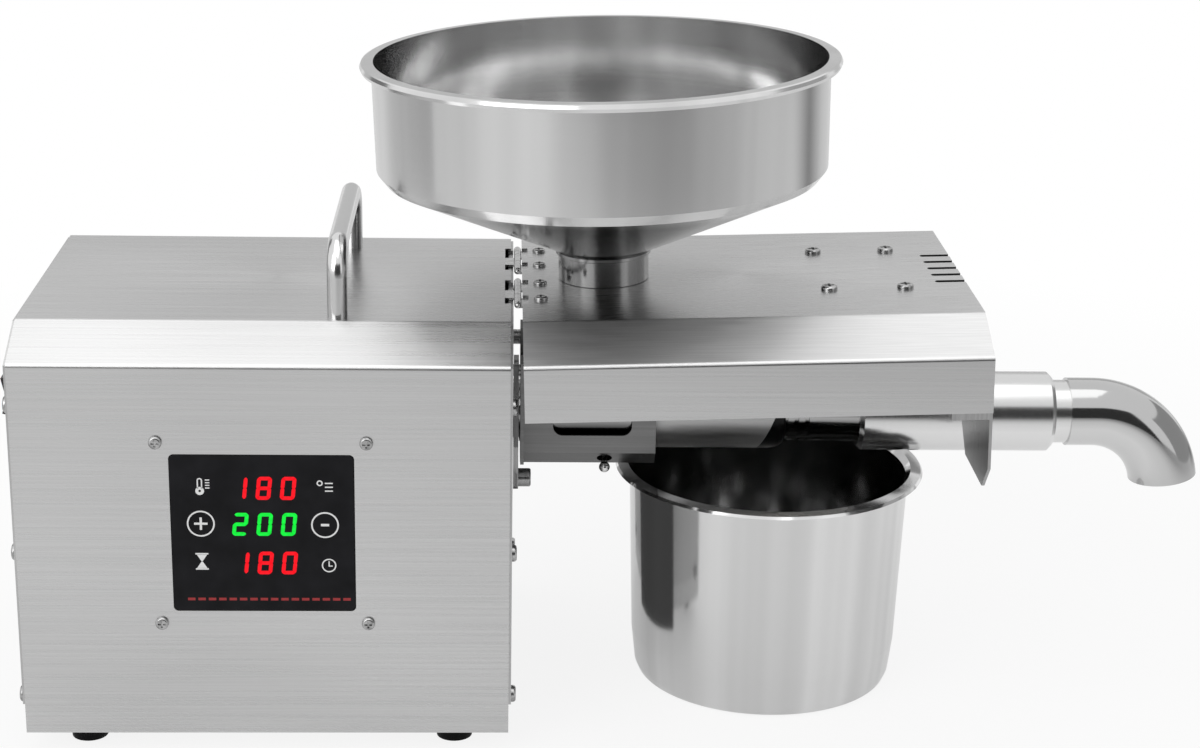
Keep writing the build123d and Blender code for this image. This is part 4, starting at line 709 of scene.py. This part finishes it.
def card(name, azimuth, distance, width, low, high, level):
    """Upright card that only reflections see. Azimuth 0 is towards -Y and 90 towards +X."""
    a = radians(azimuth)
    middle = Vector((distance * sin(a), -distance * cos(a), 0))
    side = Vector((cos(a), sin(a), 0)) * width / 2
    corners = [middle - side + Vector((0, 0, low)), middle + side + Vector((0, 0, low)),
               middle + side + Vector((0, 0, high)), middle - side + Vector((0, 0, high))]
    mesh = bpy.data.meshes.new(name)
    mesh.from_pydata([tuple(c) for c in corners], [], [(0, 1, 2, 3)])
    piece = bpy.data.objects.new(name, mesh)
    bpy.context.scene.collection.objects.link(piece)
    mat = bpy.data.materials.new(name)
    mat.use_nodes = True
    nodes, links = mat.node_tree.nodes, mat.node_tree.links
    glow = nodes.new("ShaderNodeEmission")
    glow.inputs["Color"].default_value = (level, level, level, 1)
    links.new(glow.outputs["Emission"], nodes["Material Output"].inputs["Surface"])
    mesh.materials.append(mat)
    piece.visible_camera = False
    piece.visible_diffuse = False
    piece.visible_shadow = False
    piece.visible_transmission = False


card("dark_card_front", 8, 1.5, 2.0, 0.0, 0.95, 0.05)
card("grey_card_right", 95, 1.7, 2.2, 0.0, 1.0, 0.42)
card("grey_card_back", 180, 2.0, 3.6, 0.25, 1.1, 0.62)
card("dark_card_far_left", -128, 1.6, 0.5, 0.0, 1.2, 0.22)
card("flag_by_pot", -90, 0.046, 0.08, 0.0, 0.10, 0.06)

# Two large soft lamps light the object, one overhead and one at the front left. Both are weak
# enough that the brushed folds keep their tone.

for lamp_name, spot, aim, size, power in (
        ("overhead_soft_lamp", (-0.1, -0.3, 1.6), (0, 0, 0.1), 1.5, 6.5),
        ("front_left_soft_lamp", (-1.1, -1.3, 1.0), (0, 0, 0.12), 1.3, 10)):
    lamp_data = bpy.data.lights.new(lamp_name, "AREA")
    lamp_data.shape = "SQUARE"
    lamp_data.size = size
    lamp_data.energy = power
    lamp = bpy.data.objects.new(lamp_name, lamp_data)
    lamp.location = spot
    lamp.rotation_euler = (Vector(aim) - Vector(spot)).to_track_quat("-Z", "Y").to_euler()
    bpy.context.scene.collection.objects.link(lamp)

# The room around is white to the camera and to polished faces, and a little dimmer as a light, so
# that colours show about as they are.

world = bpy.data.worlds.new("white_studio")
bpy.context.scene.world = world
world.use_nodes = True
world_nodes, world_links = world.node_tree.nodes, world.node_tree.links
world_light = world_nodes["Background"]
world_light.inputs["Color"].default_value = (1, 1, 1, 1)
world_rays = world_nodes.new("ShaderNodeLightPath")
world_seen = world_nodes.new("ShaderNodeMath")
world_seen.operation = "MAXIMUM"
world_clear = world_nodes.new("ShaderNodeMath")
world_clear.operation = "MAXIMUM"
world_level = world_nodes.new("ShaderNodeMapRange")
world_level.inputs["To Min"].default_value = 0.62
world_level.inputs["To Max"].default_value = 1.0
world_links.new(world_rays.outputs["Is Camera Ray"], world_seen.inputs[0])
world_links.new(world_rays.outputs["Is Glossy Ray"], world_seen.inputs[1])
world_links.new(world_seen.outputs[0], world_clear.inputs[0])
world_links.new(world_rays.outputs["Is Transmission Ray"], world_clear.inputs[1])
world_links.new(world_clear.outputs[0], world_level.inputs["Value"])
world_links.new(world_level.outputs["Result"], world_light.inputs["Strength"])

# The camera stands to the front, a little above the hopper, and looks down at the press. Its
# lens, shift and direction were fitted to the object's corners and rims.

camera_data = bpy.data.cameras.new("camera")
camera = bpy.data.objects.new("camera", camera_data)
bpy.context.scene.collection.objects.link(camera)
camera_data.sensor_width = 36.0
camera_data.lens = 73.0423
camera_data.shift_x = -0.0068235
look = Vector((0.04205, 0.9498, -0.310018))
right = Vector((0.999095, -0.03797, 0.019186))
up = right.cross(look)
turn = Matrix((right, up, -look)).transposed().to_4x4()
camera_place = (-0.0508, -0.97381, 0.4508)
camera.matrix_world = Matrix.Translation(camera_place) @ turn
bpy.context.scene.camera = camera
bpy.context.scene.view_settings.view_transform = "Standard"
